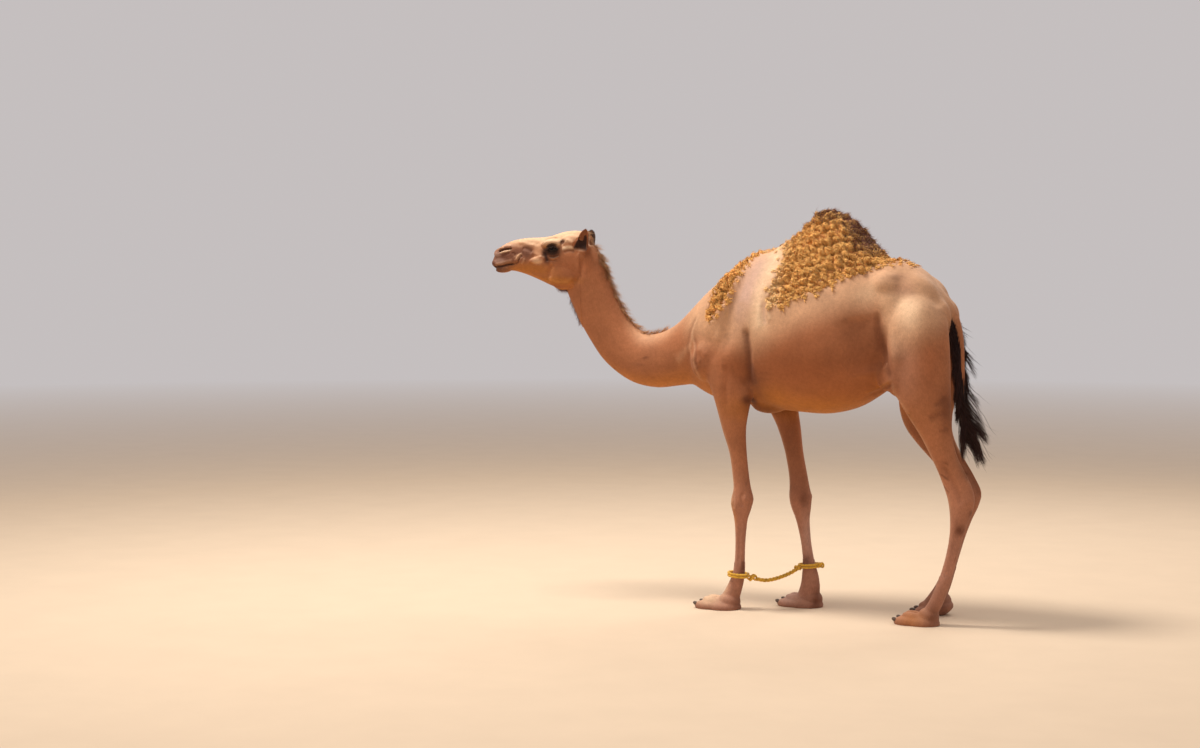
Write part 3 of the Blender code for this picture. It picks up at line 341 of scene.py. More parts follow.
# Round lumps and hollows on the body: sides, x, z, radius, height
BODY_LUMPS = [
    (BOTH, -0.19, 1.345, 0.02, 0.006), (BOTH, -0.158, 1.385, 0.018, 0.005),
    (BOTH, -0.15, 1.33, 0.017, 0.006), (BOTH, -0.12, 1.365, 0.016, 0.004),
    (BOTH, -0.172, 1.295, 0.018, 0.005), (BOTH, -0.128, 1.3, 0.015, 0.004),
    (BOTH, 0.82, 1.735, 0.04, 0.007), (BOTH, 0.885, 1.6, 0.06, -0.008), (BOTH, 0.76, 1.6, 0.08, -0.009),
    (BOTH, 1.04, 1.61, 0.045, 0.006), ((LEFT,), 0.112, 1.128, 0.03, 0.005),
    ((RIGHT,), 0.256, 1.118, 0.03, 0.005), ((LEFT,), 0.022, 0.58, 0.026, 0.005),
    ((LEFT,), 0.098, 0.618, 0.018, 0.004), ((RIGHT,), 0.344, 0.612, 0.018, 0.004),
    ((LEFT,), 1.29, 0.66, 0.018, 0.004), ((RIGHT,), 1.235, 0.665, 0.018, 0.004),
]
# The same on the head: half width, height, cover, colour, route of (back, up)
HEAD_STROKES = [
    # The nostril: its slit painted dark as the shade inside it.
    (0.0052, -0.0135, 0.95, DARK,
     [(0.046, 0.06), (0.058, 0.071), (0.078, 0.078), (0.1, 0.08), (0.119, 0.08)]),
    (0.007, 0.0046, 0.35, PALE, [(0.044, 0.076), (0.062, 0.089), (0.09, 0.096), (0.118, 0.095)]),
    (0.0048, 0.003, 0.8, CREAM, [(0.052, 0.056), (0.072, 0.062), (0.094, 0.067), (0.112, 0.074)]),
    (0.008, -0.003, 0.35, BROWN, [(0.06, 0.046), (0.084, 0.052), (0.108, 0.058)]),
    # The mouth: the line between the lips painted dark as shade.
    (0.0046, -0.0115, 0.92, DARK,
     [(-0.004, -0.019), (0.023, -0.021), (0.06, -0.017), (0.099, -0.007), (0.137, -0.003)]),
    (0.004, -0.005, 0.7, BROWN, [(0.137, -0.003), (0.152, 0.004), (0.158, 0.018), (0.16, 0.03)]),
    (0.0075, 0.0035, 0.25, PALE, [(0.02, -0.006), (0.05, -0.002), (0.095, 0.01), (0.126, 0.018)]),
    (0.009, 0.0035, 0.15, PALE, [(0.02, -0.033), (0.06, -0.029), (0.1, -0.022)]),
    (0.0055, 0.004, 0.55, PALE, [(0.145, 0.018), (0.15, 0.034), (0.162, 0.047), (0.178, 0.053)]),
    (0.005, -0.003, 0.45, MAUVE, [(0.158, 0.016), (0.164, 0.03), (0.178, 0.04)]),
    (0.006, 0.003, 0.3, PALE, [(0.17, -0.006), (0.184, 0.01), (0.19, 0.026)]),
    (0.006, -0.003, 0.3, BROWN, [(0.118, 0.06), (0.134, 0.05), (0.14, 0.034), (0.134, 0.018)]),
    (0.011, 0.0045, 0.2, PALE, [(0.15, 0.112), (0.184, 0.11), (0.215, 0.102), (0.25, 0.098)]),
    (0.011, -0.0045, 0.25, MAUVE, [(0.176, 0.084), (0.205, 0.078), (0.235, 0.06)]),
    (0.013, 0.0055, 0.65, CREAM,
     [(0.296, 0.104), (0.316, 0.118), (0.346, 0.122), (0.374, 0.114), (0.394, 0.094)]),
    (0.006, -0.003, 0.3, BROWN,
     [(0.284, 0.092), (0.296, 0.112), (0.318, 0.132), (0.348, 0.138), (0.38, 0.132)]),
    (0.005, -0.004, 0.6, BROWN, [(0.308, 0.054), (0.33, 0.036), (0.356, 0.032), (0.386, 0.046)]),
    (0.0055, 0.0026, 0.2, TAN, [(0.318, 0.044), (0.338, 0.026), (0.362, 0.023), (0.392, 0.036)]),
    (0.0045, -0.0028, 0.35, BROWN, [(0.33, 0.016), (0.35, 0.012), (0.374, 0.018)]),
    (0.0085, -0.005, 0.8, DARK, [(0.306, 0.062), (0.308, 0.044), (0.316, 0.024), (0.322, 0.006)]),
    (0.012, 0.0018, 0.45, PALE, [(0.238, 0.026), (0.262, 0.018), (0.292, 0.008)]),
    (0.013, 0.004, 0.0, TAN, [(0.225, 0.056), (0.262, 0.044), (0.292, 0.032)]),
    (0.011, 0.0045, 0.3, OCHRE,
     [(0.22, -0.055), (0.29, -0.083), (0.365, -0.108), (0.43, -0.112), (0.466, -0.075)]),
    (0.012, -0.006, 0.25, RUSSET, [(0.346, -0.004), (0.33, -0.04), (0.334, -0.08)]),
    (0.0095, 0.0026, 0.85, CREAM, [(0.4, 0.078), (0.428, 0.083), (0.456, 0.084), (0.486, 0.08)]),
    # Painted shade under the cream line of the cheek bone.
    (0.011, -0.0035, 0.45, BROWN, [(0.41, 0.058), (0.44, 0.07), (0.474, 0.066)]),
    (0.015, -0.007, 0.35, RUSSET, [(0.506, 0.03), (0.51, -0.02), (0.496, -0.07), (0.47, -0.11)]),
    (0.012, -0.0025, 0.0, TAN, [(0.14, 0.1), (0.2, 0.108), (0.28, 0.108)]),
    # Painted shade in the hollow of the temple.
    (0.011, -0.005, 0.9, BROWN, [(0.396, 0.118), (0.404, 0.114), (0.412, 0.108)]),
    (0.009, 0.004, 0.3, PALE, [(0.424, 0.128), (0.446, 0.116), (0.462, 0.104)]),
]
# The flank and the quarters are pale above this line (x, z) and russet below it, partly the coat's own and
# partly painted sunlight above and painted shade below
PALE_ABOVE = [
    (-0.4, 1.54), (-0.2, 1.46), (0.0, 1.41), (0.154, 1.36), (0.296, 1.45), (0.424, 1.52), (0.649, 1.6),
    (0.814, 1.61), (0.86, 1.48), (0.907, 1.38), (1.02, 1.43), (1.106, 1.47), (1.15, 1.5),
]
# Blotches of colour in side view. colour, cover, x, z, half length, half height, lean, sides
BODY_BLOTCHES = [
    # Russet on the lower flank: partly the coat's own, partly painted shade.
    (RUSSET, 0.75, 0.45, 1.3, 0.38, 0.14, 0, BOTH), (RUSSET, 0.4, 0.6, 1.17, 0.25, 0.07, 10, BOTH),
    # Ochre along the belly: partly the coat's own, partly painted light bounced up from the ground.
    (OCHRE, 0.95, 0.42, 1.085, 0.4, 0.06, 0, BOTH), (OCHRE, 0.55, 0.24, 1.14, 0.09, 0.07, 0, BOTH),
    (CREAM, 0.85, 0.185, 1.7, 0.036, 0.13, -6, BOTH), (CREAM, 0.6, 0.195, 1.54, 0.05, 0.06, 0, BOTH),
    (LILAC, 0.85, 0.105, 1.68, 0.05, 0.15, -14, BOTH), (LILAC, 0.5, 0.16, 1.82, 0.05, 0.07, -20, BOTH),
    (CREAM, 0.8, 0.235, 1.83, 0.042, 0.12, 0, BOTH), (WOOL, 0.55, 0.225, 1.95, 0.06, 0.03, 0, BOTH),
    # The brown behind each upper arm, at x 0.112 and 0.21, and in the flank's hollow before the thigh, at x
    # 0.805 and 0.72, is painted shade.
    (BROWN, 0.25, -0.165, 1.34, 0.06, 0.07, 0, BOTH), (BROWN, 0.34, 0.112, 1.37, 0.042, 0.11, 0, (LEFT,)),
    (BROWN, 0.26, 0.21, 1.37, 0.045, 0.11, -10, (RIGHT,)), (BROWN, 0.32, 0.805, 1.37, 0.05, 0.12, -8, BOTH),
    (BROWN, 0.1, 0.72, 1.44, 0.08, 0.13, 0, BOTH), (PALE, 0.35, 0.02, 1.52, 0.07, 0.09, 0, BOTH),
    (RUSSET, 0.45, 0.05, 1.32, 0.08, 0.14, 0, (LEFT,)), (RUSSET, 0.45, 0.15, 1.32, 0.08, 0.14, 0, (RIGHT,)),
    (OCHRE, 0.35, -0.43, 1.19, 0.25, 0.055, 0, BOTH), (CREAM, 0.68, 0.97, 1.62, 0.1, 0.06, -25, BOTH),
    (CREAM, 0.52, 0.99, 1.56, 0.06, 0.06, 0, BOTH), (LILAC, 0.16, 0.96, 1.33, 0.09, 0.16, 0, BOTH),
    (LILAC, 0.4, 0.34, 0.4, 0.03, 0.12, 0, (RIGHT,)), (CREAM, 0.35, 0.76, 1.68, 0.07, 0.05, 20, BOTH),
    (BROWN, 0.5, 0.905, 1.765, 0.045, 0.022, 0, BOTH), (ROSY, 0.45, 0.94, 1.7, 0.05, 0.04, 0, BOTH),
    # The brown at x 1.17 is painted shadow of the tail on the backs of the thighs.
    (RUSSET, 0.45, 1.09, 1.36, 0.06, 0.2, 0, BOTH), (BROWN, 0.65, 1.17, 1.12, 0.03, 0.11, 0, BOTH),
    (BROWN, 0.92, 0.111, 1.128, 0.026, 0.034, 0, (LEFT,)),
    (BROWN, 0.92, 0.256, 1.116, 0.026, 0.034, 0, (RIGHT,)), (BROWN, 0.6, 0.17, 1.075, 0.1, 0.028, 0, BOTH),
    (MAUVE, 0.5, 0.165, 1.2, 0.034, 0.08, 10, BOTH), (PALE, 0.85, 0.006, 0.59, 0.018, 0.045, 0, (LEFT,)),
    (CREAM, 0.8, -0.11, 0.085, 0.06, 0.03, 0, (LEFT,)), (CREAM, 0.6, -0.03, 0.14, 0.022, 0.03, 0, (LEFT,)),
    # The cream down the front of the near fore cannon, at x 0.0 and z 0.38, is a painted highlight.
    (LILAC, 0.6, 0.24, 0.08, 0.055, 0.035, 0, (RIGHT,)), (CREAM, 0.5, 0.0, 0.38, 0.016, 0.16, 0, (LEFT,)),
    (OCHRE, 0.55, 1.0, 0.06, 0.09, 0.05, 0, (LEFT,)), (OCHRE, 0.6, 0.02, 0.52, 0.024, 0.05, 0, (LEFT,)),
    (BROWN, 0.9, 1.233, 0.513, 0.026, 0.026, 0, (LEFT,)),
    (BROWN, 0.65, 1.286, 0.595, 0.012, 0.02, 0, (LEFT,)),
    (BROWN, 0.7, 1.205, 0.365, 0.006, 0.008, 0, (LEFT,)),
    (BROWN, 0.65, 0.33, 0.27, 0.022, 0.024, 0, (RIGHT,)),
    (BROWN, 0.55, 0.32, 0.6, 0.022, 0.04, 0, (RIGHT,)),
    (BROWN, 0.55, 0.068, 0.225, 0.014, 0.04, 0, (LEFT,)),
    (BROWN, 0.55, 0.06, 0.06, 0.026, 0.05, 0, (LEFT,)),
    (BROWN, 0.75, 0.395, 0.07, 0.022, 0.06, 0, (RIGHT,)), (BROWN, 0.55, 1.1, 0.07, 0.024, 0.05, 0, (LEFT,)),
    (BROWN, 0.55, 1.06, 0.08, 0.024, 0.05, 0, (RIGHT,)),
    (BROWN, 0.7, -0.505, 1.335, 0.009, 0.01, 0, (LEFT,)),
    (MAUVE, 0.45, -0.555, 1.3, 0.022, 0.012, 0, (LEFT,)),
    (BROWN, 0.55, -0.64, 1.375, 0.008, 0.009, 0, (LEFT,)),
    (BROWN, 0.5, -0.47, 1.225, 0.008, 0.008, 0, (LEFT,)),
]
# colour, cover, back, up, half length, half height
HEAD_BLOTCHES = [
    (CREAM, 0.25, 0.27, 0.11, 0.15, 0.026), (MAUVE, 0.8, 0.08, 0.034, 0.095, 0.062),
    (MAUVE, 0.75, 0.06, -0.03, 0.06, 0.026), (MAUVE, 0.82, 0.208, 0.06, 0.038, 0.044),
    (MAUVE, 0.55, 0.16, 0.062, 0.04, 0.034), (MAUVE, 0.75, 0.006, 0.004, 0.026, 0.034),
    (LILAC, 0.5, 0.034, 0.05, 0.024, 0.016), (LILAC, 0.45, 0.05, 0.014, 0.03, 0.016),
    (LILAC, 0.4, 0.09, 0.096, 0.04, 0.01), (PALE, 0.5, 0.15, 0.034, 0.016, 0.014),
    (BROWN, 0.85, 0.026, -0.038, 0.044, 0.016), (BROWN, 0.5, 0.0, 0.004, 0.016, 0.022),
    (OCHRE, 0.7, 0.22, -0.03, 0.11, 0.03), (PALE, 0.45, 0.268, 0.066, 0.024, 0.034),
    # The two dark patches round the eye are its dark skin, widened with painted shade under the brow and
    # lashes.
    (DARK, 0.97, 0.352, 0.062, 0.05, 0.03), (DARK, 0.8, 0.306, 0.054, 0.022, 0.026),
    (BROWN, 0.85, 0.318, 0.016, 0.02, 0.026), (CREAM, 0.55, 0.264, 0.01, 0.028, 0.015),
    # The dark spot at back 0.402 is painted shade in the hollow of the temple.
    (CREAM, 0.45, 0.43, 0.124, 0.04, 0.014), (DARK, 0.8, 0.402, 0.116, 0.015, 0.014),
    (OCHRE, 0.8, 0.38, -0.096, 0.12, 0.022), (RUSSET, 0.55, 0.35, -0.124, 0.09, 0.014),
    (OCHRE, 0.3, 0.33, -0.06, 0.08, 0.04), (RUSSET, 0.35, 0.43, -0.03, 0.07, 0.065),
    # The russet at back 0.555 and up 0.01 is painted shadow of the ear behind the jaw.
    (RUSSET, 0.75, 0.555, 0.01, 0.04, 0.075), (BROWN, 0.5, 0.555, 0.08, 0.03, 0.06),
]
# Patches of long coat, as outlines in side view (x, z)
WOOL_PATCH = [
    (0.1, 1.955), (0.19, 1.945), (0.262, 1.925), (0.277, 1.89), (0.279, 1.843), (0.264, 1.777),
    (0.238, 1.712), (0.23, 1.65), (0.25, 1.622), (0.29, 1.64), (0.322, 1.6), (0.352, 1.648), (0.464, 1.679),
    (0.532, 1.694), (0.587, 1.724), (0.64, 1.762), (0.703, 1.775), (0.754, 1.803), (0.824, 1.832),
    (0.9, 1.842), (0.98, 1.83), (1.0, 2.0), (0.6, 2.3), (0.1, 2.3),
]
SHOULDER_BAND = [
    (0.26, 1.99), (0.2, 1.905), (0.12, 1.88), (0.074, 1.824), (0.05, 1.762), (0.022, 1.687),
    (-0.022, 1.611), (-0.098, 1.53), (-0.13, 1.55), (-0.105, 1.641), (-0.09, 1.732), (-0.085, 1.8),
    (-0.06, 2.0),
]
CREST_PATCH = [
    (0.28, 1.96), (0.35, 2.005), (0.44, 2.05), (0.545, 2.045), (0.59, 1.975), (0.625, 1.895), (0.7, 1.862),
    (0.77, 1.88), (0.8, 2.2), (0.3, 2.3),
]


# ---- shapes, as in the solids ----
def smooth_rows(rows, between=RINGS_BETWEEN):
    """The stations with more rows between them, along a Catmull-Rom curve."""
    table = np.array(rows, float)
    padded = np.vstack([2 * table[0] - table[1], table, 2 * table[-1] - table[-2]])
    made = []
    for i in range(len(table) - 1):
        a, b, c, d = padded[i : i + 4]
        for t in np.arange(between) / between:
            bend = (2 * a - 5 * b + 4 * c - d) * t**2 + (3 * b - a - 3 * c + d) * t**3
            made.append(0.5 * (2 * b + (c - a) * t + bend))
    return np.array(made + [table[-1]])


def add_ring(bm, centre, side, up, half_side, half_up, half_down, squareness):
    """A closed egg-shaped ring: half_up and half_down are its reaches along up and against it."""
    made = bmesh.ops.create_circle(bm, segments=RING_POINTS, radius=1.0)["verts"]
    for vert in made:
        c, s = vert.co.x, vert.co.y
        c = math.copysign(abs(c) ** squareness, c)
        s = math.copysign(abs(s) ** squareness, s)
        vert.co = centre + side * (c * half_side) + up * (s * (half_up if s > 0 else half_down))
    return list({edge for vert in made for edge in vert.link_edges})


def loft(rings, squareness=1.0):
    """A closed form through the rings, with its faces turned outwards."""
    bm = bmesh.new()
    loops = [add_ring(bm, *ring, squareness) for ring in rings]
    for one, other in zip(loops, loops[1:]):
        bmesh.ops.bridge_loops(bm, edges=one + other)
    bmesh.ops.holes_fill(bm, edges=bm.edges, sides=0)
    bmesh.ops.recalc_face_normals(bm, faces=bm.faces)
    return bm


def place(x, y, z):
    """A point of the drawing, in the model's own frame."""
    return Vector((x - MIDDLE_X, y, z - FLOOR_Z))


def on_floor(x, y, z):
    """A point of the drawing at a height above the floor."""
    return Vector((x - MIDDLE_X, y, z))


def head_point(back, up, out):
    """A point of the head: back from the nose, up, and out to the animal's right."""
    turn = Matrix.Rotation(HEAD_YAW, 3, "Z")
    return place(*(NOSE + turn @ Vector((back, out, up))))


def head_way(back, up, out):
    """A direction given as the head's back, up and out."""
    return (Matrix.Rotation(HEAD_YAW, 3, "Z") @ Vector((back, out, up))).normalized()


def eye_centre(side):
    return head_point(EYE[0], EYE[1], side * EYE[2])


def eye_way(side):
    """The way that the eye looks."""
    return head_way(EYE_AXIS[0], EYE_AXIS[1], side * EYE_AXIS[2])


ACROSS, UPRIGHT, ALONG = Vector((0, 1, 0)), Vector((0, 0, 1)), Vector((1, 0, 0))


def trunk_form():
    return loft((place(x, 0, level), ACROSS, UPRIGHT, half, top - level, level - bottom)
                for x, top, level, bottom, half in smooth_rows(TRUNK))


def neck_form():
    rings = []
    for x, y, z, depth, half, lean in smooth_rows(NECK):
        angle = math.radians(lean)
        up = Vector((-math.sin(angle), 0, math.cos(angle)))
        rings.append((place(x, y, z), ACROSS, up, half, depth, depth))
    return loft(rings)


def skull_form():
    side = head_way(0, 0, 1)
    return loft(((head_point(back, level, 0), side, UPRIGHT, half, top - level, level - bottom)
                 for back, top, level, bottom, half in smooth_rows(SKULL)), squareness=0.9)


def upright_form(rows, side=0):
    """A leg, or the hump where side is zero: z, front x, rear x, y and half width in each row."""
    rings = []
    for z, front, rear, out, half in smooth_rows(rows):
        reach = (rear - front) / 2
        rings.append((place((front + rear) / 2, side * out, z), ACROSS, ALONG, half, reach, reach))
    return loft(rings)


def dock_form():
    rings = []
    rows = smooth_rows(DOCK, between=3)
    for (x, z, depth, half), ahead in zip(rows, np.gradient(rows, axis=0)):
        run = Vector((ahead[0], 0, ahead[1])).normalized()
        rings.append((place(x, 0, z), ACROSS, Vector((-run.z, 0, run.x)), half, depth, depth))
    return loft(rings)


def moved(bm, matrix):
    bmesh.ops.transform(bm, matrix=matrix, verts=bm.verts)
    return bm


def muscle(centre, radii, lean=0.0, turn=0.0):
    """An ellipsoid: lean tips its top forwards in degrees, turn swings it about the upright."""
    bm = bmesh.new()
    bmesh.ops.create_uvsphere(bm, u_segments=36, v_segments=18, radius=1.0)
    matrix = (
        Matrix.Translation(centre)
        @ Matrix.Rotation(math.radians(turn), 4, "Z")
        @ Matrix.Rotation(math.radians(-lean), 4, "Y")
        @ Matrix.Diagonal((*radii, 1.0))
    )
    return moved(bm, matrix)


def foot_turn(foot):
    """How a resting foot is tipped about the tips of its toes."""
    toe_x, heel_x, y, _, tilt = FEET[foot]
    pivot = on_floor(toe_x + 0.25 * (heel_x - toe_x), y, 0)
    return Matrix.Translation(pivot) @ Matrix.Rotation(-tilt, 4, "Y") @ Matrix.Translation(-pivot)


def foot_forms(foot):
    """A broad pad with two toes."""
    toe_x, heel_x, y, half, _ = FEET[foot]
    length = heel_x - toe_x
    forms = [
        muscle(on_floor(toe_x + 0.6 * length, y, 0.01), (0.41 * length, half, 0.044)),
        muscle(on_floor(toe_x + 0.75 * length, y, 0.04), (0.25 * length, 0.7 * half, 0.05)),
    ]
    for out in BOTH:
        forms += [
            muscle(on_floor(toe_x + 0.31 * length, y + out * 0.46 * half, 0.014),
                   (0.31 * length, 0.5 * half, 0.031), turn=out * 7),
            muscle(on_floor(toe_x + 0.46 * length, y + out * 0.34 * half, 0.032),
                   (0.28 * length, 0.4 * half, 0.03), lean=-16),
        ]
    return [moved(form, foot_turn(foot)) for form in forms]


def ear_axes(side):
    """The ear's base, its half length, and its ways: along it, out of its hollow and across it."""
    base = head_point(EAR_BASE[0], EAR_BASE[1], side * EAR_BASE[2])
    tip = head_point(EAR_TIP[0], EAR_TIP[1], side * EAR_TIP[2])
    along = (tip - base).normalized()
    back, up, out = EAR_FACING
    facing = head_way(back, up, side * out)
    facing = (facing - along * facing.dot(along)).normalized()
    return base, (tip - base).length / 2, along, facing, facing.cross(along)


def ear_form(side):
    """A leaf, hollow on the side that EAR_FACING gives."""
    base, half, along, facing, across = ear_axes(side)
    bm = bmesh.new()
    bmesh.ops.create_uvsphere(bm, u_segments=32, v_segments=20, radius=1.0)
    for vert in bm.verts:
        run, wide, deep = vert.co.z, vert.co.x, vert.co.y
        width = EAR_HALF_WIDTH * (1.0 - EAR_TAPER * run)
        hollow = EAR_CUP * (wide * wide - 0.45) * (1.0 - 0.35 * run)
        vert.co = base + along * (half * (1 + run)) + across * (wide * width)
        vert.co += facing * (deep * EAR_THICKNESS + hollow)
    bmesh.ops.recalc_face_normals(bm, faces=bm.faces)
    return bm


def body_forms():
    forms = [trunk_form(), neck_form(), skull_form(), dock_form(), ear_form(LEFT), ear_form(RIGHT)]
    forms.append(upright_form([(z, front, rear, 0.0, half) for z, front, rear, half in HUMP]))
    forms += [upright_form(rows, side) for rows, side in LEGS]
    for (x, y, z), radii, lean, sides in BODY_MUSCLES:
        forms += [muscle(place(x, side * y, z), radii, lean) for side in sides]
    for (back, up, out), radii, lean in HEAD_FORMS:
        for side in BOTH if out else (RIGHT,):
            forms.append(muscle(head_point(back, up, side * out), radii, lean, math.degrees(HEAD_YAW)))
    forms += [muscle(eye_centre(side), [LID_RADIUS] * 3) for side in BOTH]
    for foot in FEET:
        forms += foot_forms(foot)
    return forms


# ---- mesh tools ----
def shown(name, data):
    """A new object in the scene."""
    obj = bpy.data.objects.new(name, data)
    bpy.context.scene.collection.objects.link(obj)
    return obj


def mesh_object(name, bm):
    mesh = bpy.data.meshes.new(name)
    bm.to_mesh(mesh)
    bm.free()
    return shown(name, mesh)


def joined(forms):
    """The forms' meshes in one."""
    whole = bmesh.new()
    for form in forms:
        mesh = bpy.data.meshes.new("form")
        form.to_mesh(mesh)
        form.free()
        whole.from_mesh(mesh)
        bpy.data.meshes.remove(mesh)
    return whole


def settle(obj):
    """Works the object's modifiers into its mesh."""
    graph = bpy.context.evaluated_depsgraph_get()
    mesh = bpy.data.meshes.new_from_object(obj.evaluated_get(graph))
    obj.modifiers.clear()
    obj.data = mesh


def read(items, what, width, kind=np.float32):
    """One property of every item, as a table that many columns wide."""
    values = np.empty(len(items) * width, kind)
    items.foreach_get(what, values)
    return values.reshape(-1, width)


def points_of(mesh):
    return read(mesh.vertices, "co", 3).astype(float)


def normals_of(mesh):
    return read(mesh.vertex_normals, "vector", 3).astype(float)


def set_points(mesh, points):
    mesh.vertices.foreach_set("co", points.astype(np.float32).ravel())
    mesh.update()


def weigh(obj, name, weights, steps=64):
    """A vertex group with those weights, rounded to a few steps."""
    group = obj.vertex_groups.new(name=name)
    level = np.round(np.clip(weights, 0, 1) * steps).astype(int)
    for step in np.unique(level):
        group.add(np.flatnonzero(level == step).tolist(), float(step) / steps, "REPLACE")
    return group


def ease(value, low, high):
    """From 0 at low to 1 at high, without a corner."""
    t = np.clip((value - low) / (high - low), 0.0, 1.0)
    return t * t * (3 - 2 * t)


def unit(vectors):
    return vectors / np.maximum(np.linalg.norm(vectors, axis=-1, keepdims=True), 1e-9)


def drawn(points):
    """The points in the drawing's own coordinates."""
    return points + DRAWING


def in_head(vectors):
    """Vectors turned into the head's back, up and out."""
    turn = np.array(Matrix.Rotation(-HEAD_YAW, 3, "Z"))
    turned = vectors @ turn.T
    return turned[:, [0, 2, 1]]


def on_head(points):
    """The points in the head's own coordinates: back from the nose, up, out to the right."""
    return in_head(drawn(points) - np.array(NOSE))


def nearest_on(points, route):
    """Each flat point's distance from the route, and how far along it that is, from 0 to 1."""
    route = np.array(route, float)
    steps = np.linalg.norm(np.diff(route, axis=0), axis=1)
    start = np.concatenate([[0.0], np.cumsum(steps)])
    best = np.full(len(points), np.inf)
    along = np.zeros(len(points))
    for i, step in enumerate(steps):
        way = (route[i + 1] - route[i]) / step
        offset = points - route[i]
        run = np.clip(offset @ way, 0, step)
        gap = np.linalg.norm(offset - run[:, None] * way, axis=1)
        nearer = gap < best
        best[nearer] = gap[nearer]
        along[nearer] = (start[i] + run[nearer]) / start[-1]
    return best, along


def depth_inside(points, outline):
    """How deep each flat point lies inside the closed outline; below zero outside it."""
    ring = np.array(outline + outline[:1], float)
    inside = np.zeros(len(points), bool)
    for (ax, ay), (bx, by) in zip(ring, ring[1:]):
        crosses = (ay > points[:, 1]) != (by > points[:, 1])
        at = ax + (points[:, 1] - ay) * (bx - ax) / (by - ay if by != ay else 1e-9)
        inside ^= crosses & (points[:, 0] < at)
    gap, _ = nearest_on(points, ring)
    return np.where(inside, gap, -gap)


def stroke_weight(flat, route, width):
    """How strongly a stroke acts at each flat point, fading at both its ends."""
    route = np.array(route, float)
    low, high = route.min(0) - 3 * width, route.max(0) + 3 * width
    weight = np.zeros(len(flat))
    near = np.flatnonzero(((flat > low) & (flat < high)).all(axis=1))
    if len(near):
        gap, along = nearest_on(flat[near], route)
        ends = np.minimum(ease(along, -0.02, 0.14), ease(-along, -1.02, -0.86))
        weight[near] = np.exp(-((gap / width) ** 2)) * ends
    return weight


def facing_out(side, across):
    """1 where a surface on that side looks outwards, 0 where it looks inwards."""
    return ease(side * across, 0.05, 0.45)


# ---- the skin ----
def fused_skin():
    """All the flesh as one closed surface, smoothed most on the trunk and least on the face."""
    obj = mesh_object("skin", joined(body_forms()))
    remesh = obj.modifiers.new("fuse", "REMESH")
    remesh.mode = "VOXEL"
    remesh.voxel_size = SKIN_VOXEL
    settle(obj)
    points = points_of(obj.data)
    x = points[:, 0]
    leg = ease(points[:, 2], 0.85, 1.25)
    neck = ease(x, HEAD_END - MIDDLE_X, -0.65 - MIDDLE_X)
    tail = 1 - ease(x, 1.1 - MIDDLE_X, 1.16 - MIDDLE_X)
    soft = np.minimum(np.minimum(leg, tail), neck)
    hard = np.where(x < HEAD_END - MIDDLE_X, HEAD_SMOOTHING, LEG_SMOOTHING) / WIDEST_SMOOTHING
    reach = hard**2 + (1 - hard**2) * soft
    smooth = obj.modifiers.new("soften", "SMOOTH")
    smooth.factor = 0.5
    smooth.iterations = int(4 * (WIDEST_SMOOTHING / SKIN_VOXEL) ** 2)
    smooth.vertex_group = weigh(obj, "soft", reach).name
    settle(obj)
    obj.vertex_groups.clear()
    return obj


def refine(obj):
    """Splits the faces of the face: once round eyes, nose and mouth, and once more at the lids."""
    for reach, muzzle_too in ((0.06, True), (0.04, False)):
        bm = bmesh.new()
        bm.from_mesh(obj.data)
        head = on_head(points_of(obj.data))
        chosen = np.zeros(len(head), bool)
        for side in BOTH:
            eye = np.array([EYE[0], EYE[1], side * EYE[2]])
            chosen |= np.linalg.norm(head - eye, axis=1) < reach
        if muzzle_too:
            chosen |= (head[:, 0] < 0.24) & (head[:, 0] > -0.05)
        bm.verts.ensure_lookup_table()
        edges = {edge for index in np.flatnonzero(chosen) for edge in bm.verts[index].link_edges}
        bmesh.ops.subdivide_edges(bm, edges=list(edges), cuts=1, use_grid_fill=True, smooth=0.4)
        bm.to_mesh(obj.data)
        bm.free()


def eye_sight(points, side):
    """Each point seen from the eye: its distance, and where it lies along, up and out of the lids."""
    centre = np.array(eye_centre(side))
    out = eye_way(side)
    back = head_way(1.0, 0.1, 0.0)
    back = (back - out * back.dot(out)).normalized()
    up = Vector(np.cross(out, back) * side).normalized()
    if up.z < 0:
        up = -up
    offset = points - centre
    far = np.linalg.norm(offset, axis=1)
    way = unit(offset)
    return far, way @ np.array(back) * EYE_RADIUS, way @ np.array(up) * EYE_RADIUS, way @ np.array(out)


def lid_gap(back, up):
    """Below 1 inside the almond that the lids leave open, growing outwards."""
    half, above, below = APERTURE
    width = np.sqrt(np.clip(1 - (back / half) ** 2, 0, 1)) ** 1.5
    reach = np.where(up > 0, above, below) * width + 0.0004
    return np.abs(up) / reach + np.clip(np.abs(back) / half - 0.9, 0, None) * 12


def ear_place(points, normals):
    """How far each point is on an ear, its place across and up, and how it faces hollow and middle."""
    share, wide, run, hollow, inward = np.zeros((5, len(points)))
    for side in BOTH:
        base, half, along, facing, across = ear_axes(side)
        offset = points - np.array(base)
        up = offset @ np.array(along) / half - 1
        width = EAR_HALF_WIDTH * (1.0 - EAR_TAPER * up)
        over = offset @ np.array(across) / np.maximum(width, 0.008)
        deep = np.abs(offset @ np.array(facing))
        within = (up < 1.3) & (np.abs(over) < 1.35) & (deep < 0.032 + 0.014 * (up > -0.3))
        own = ease(up, -1.0, -0.65) * within
        share = np.maximum(share, own)
        near = own > 0
        wide[near], run[near] = over[near], up[near]
        hollow[near] = normals[near] @ np.array(facing)
        inward[near] = -np.clip(over[near], -1, 1) * (normals[near] @ np.array(across))
    return share, wide, run, hollow, inward


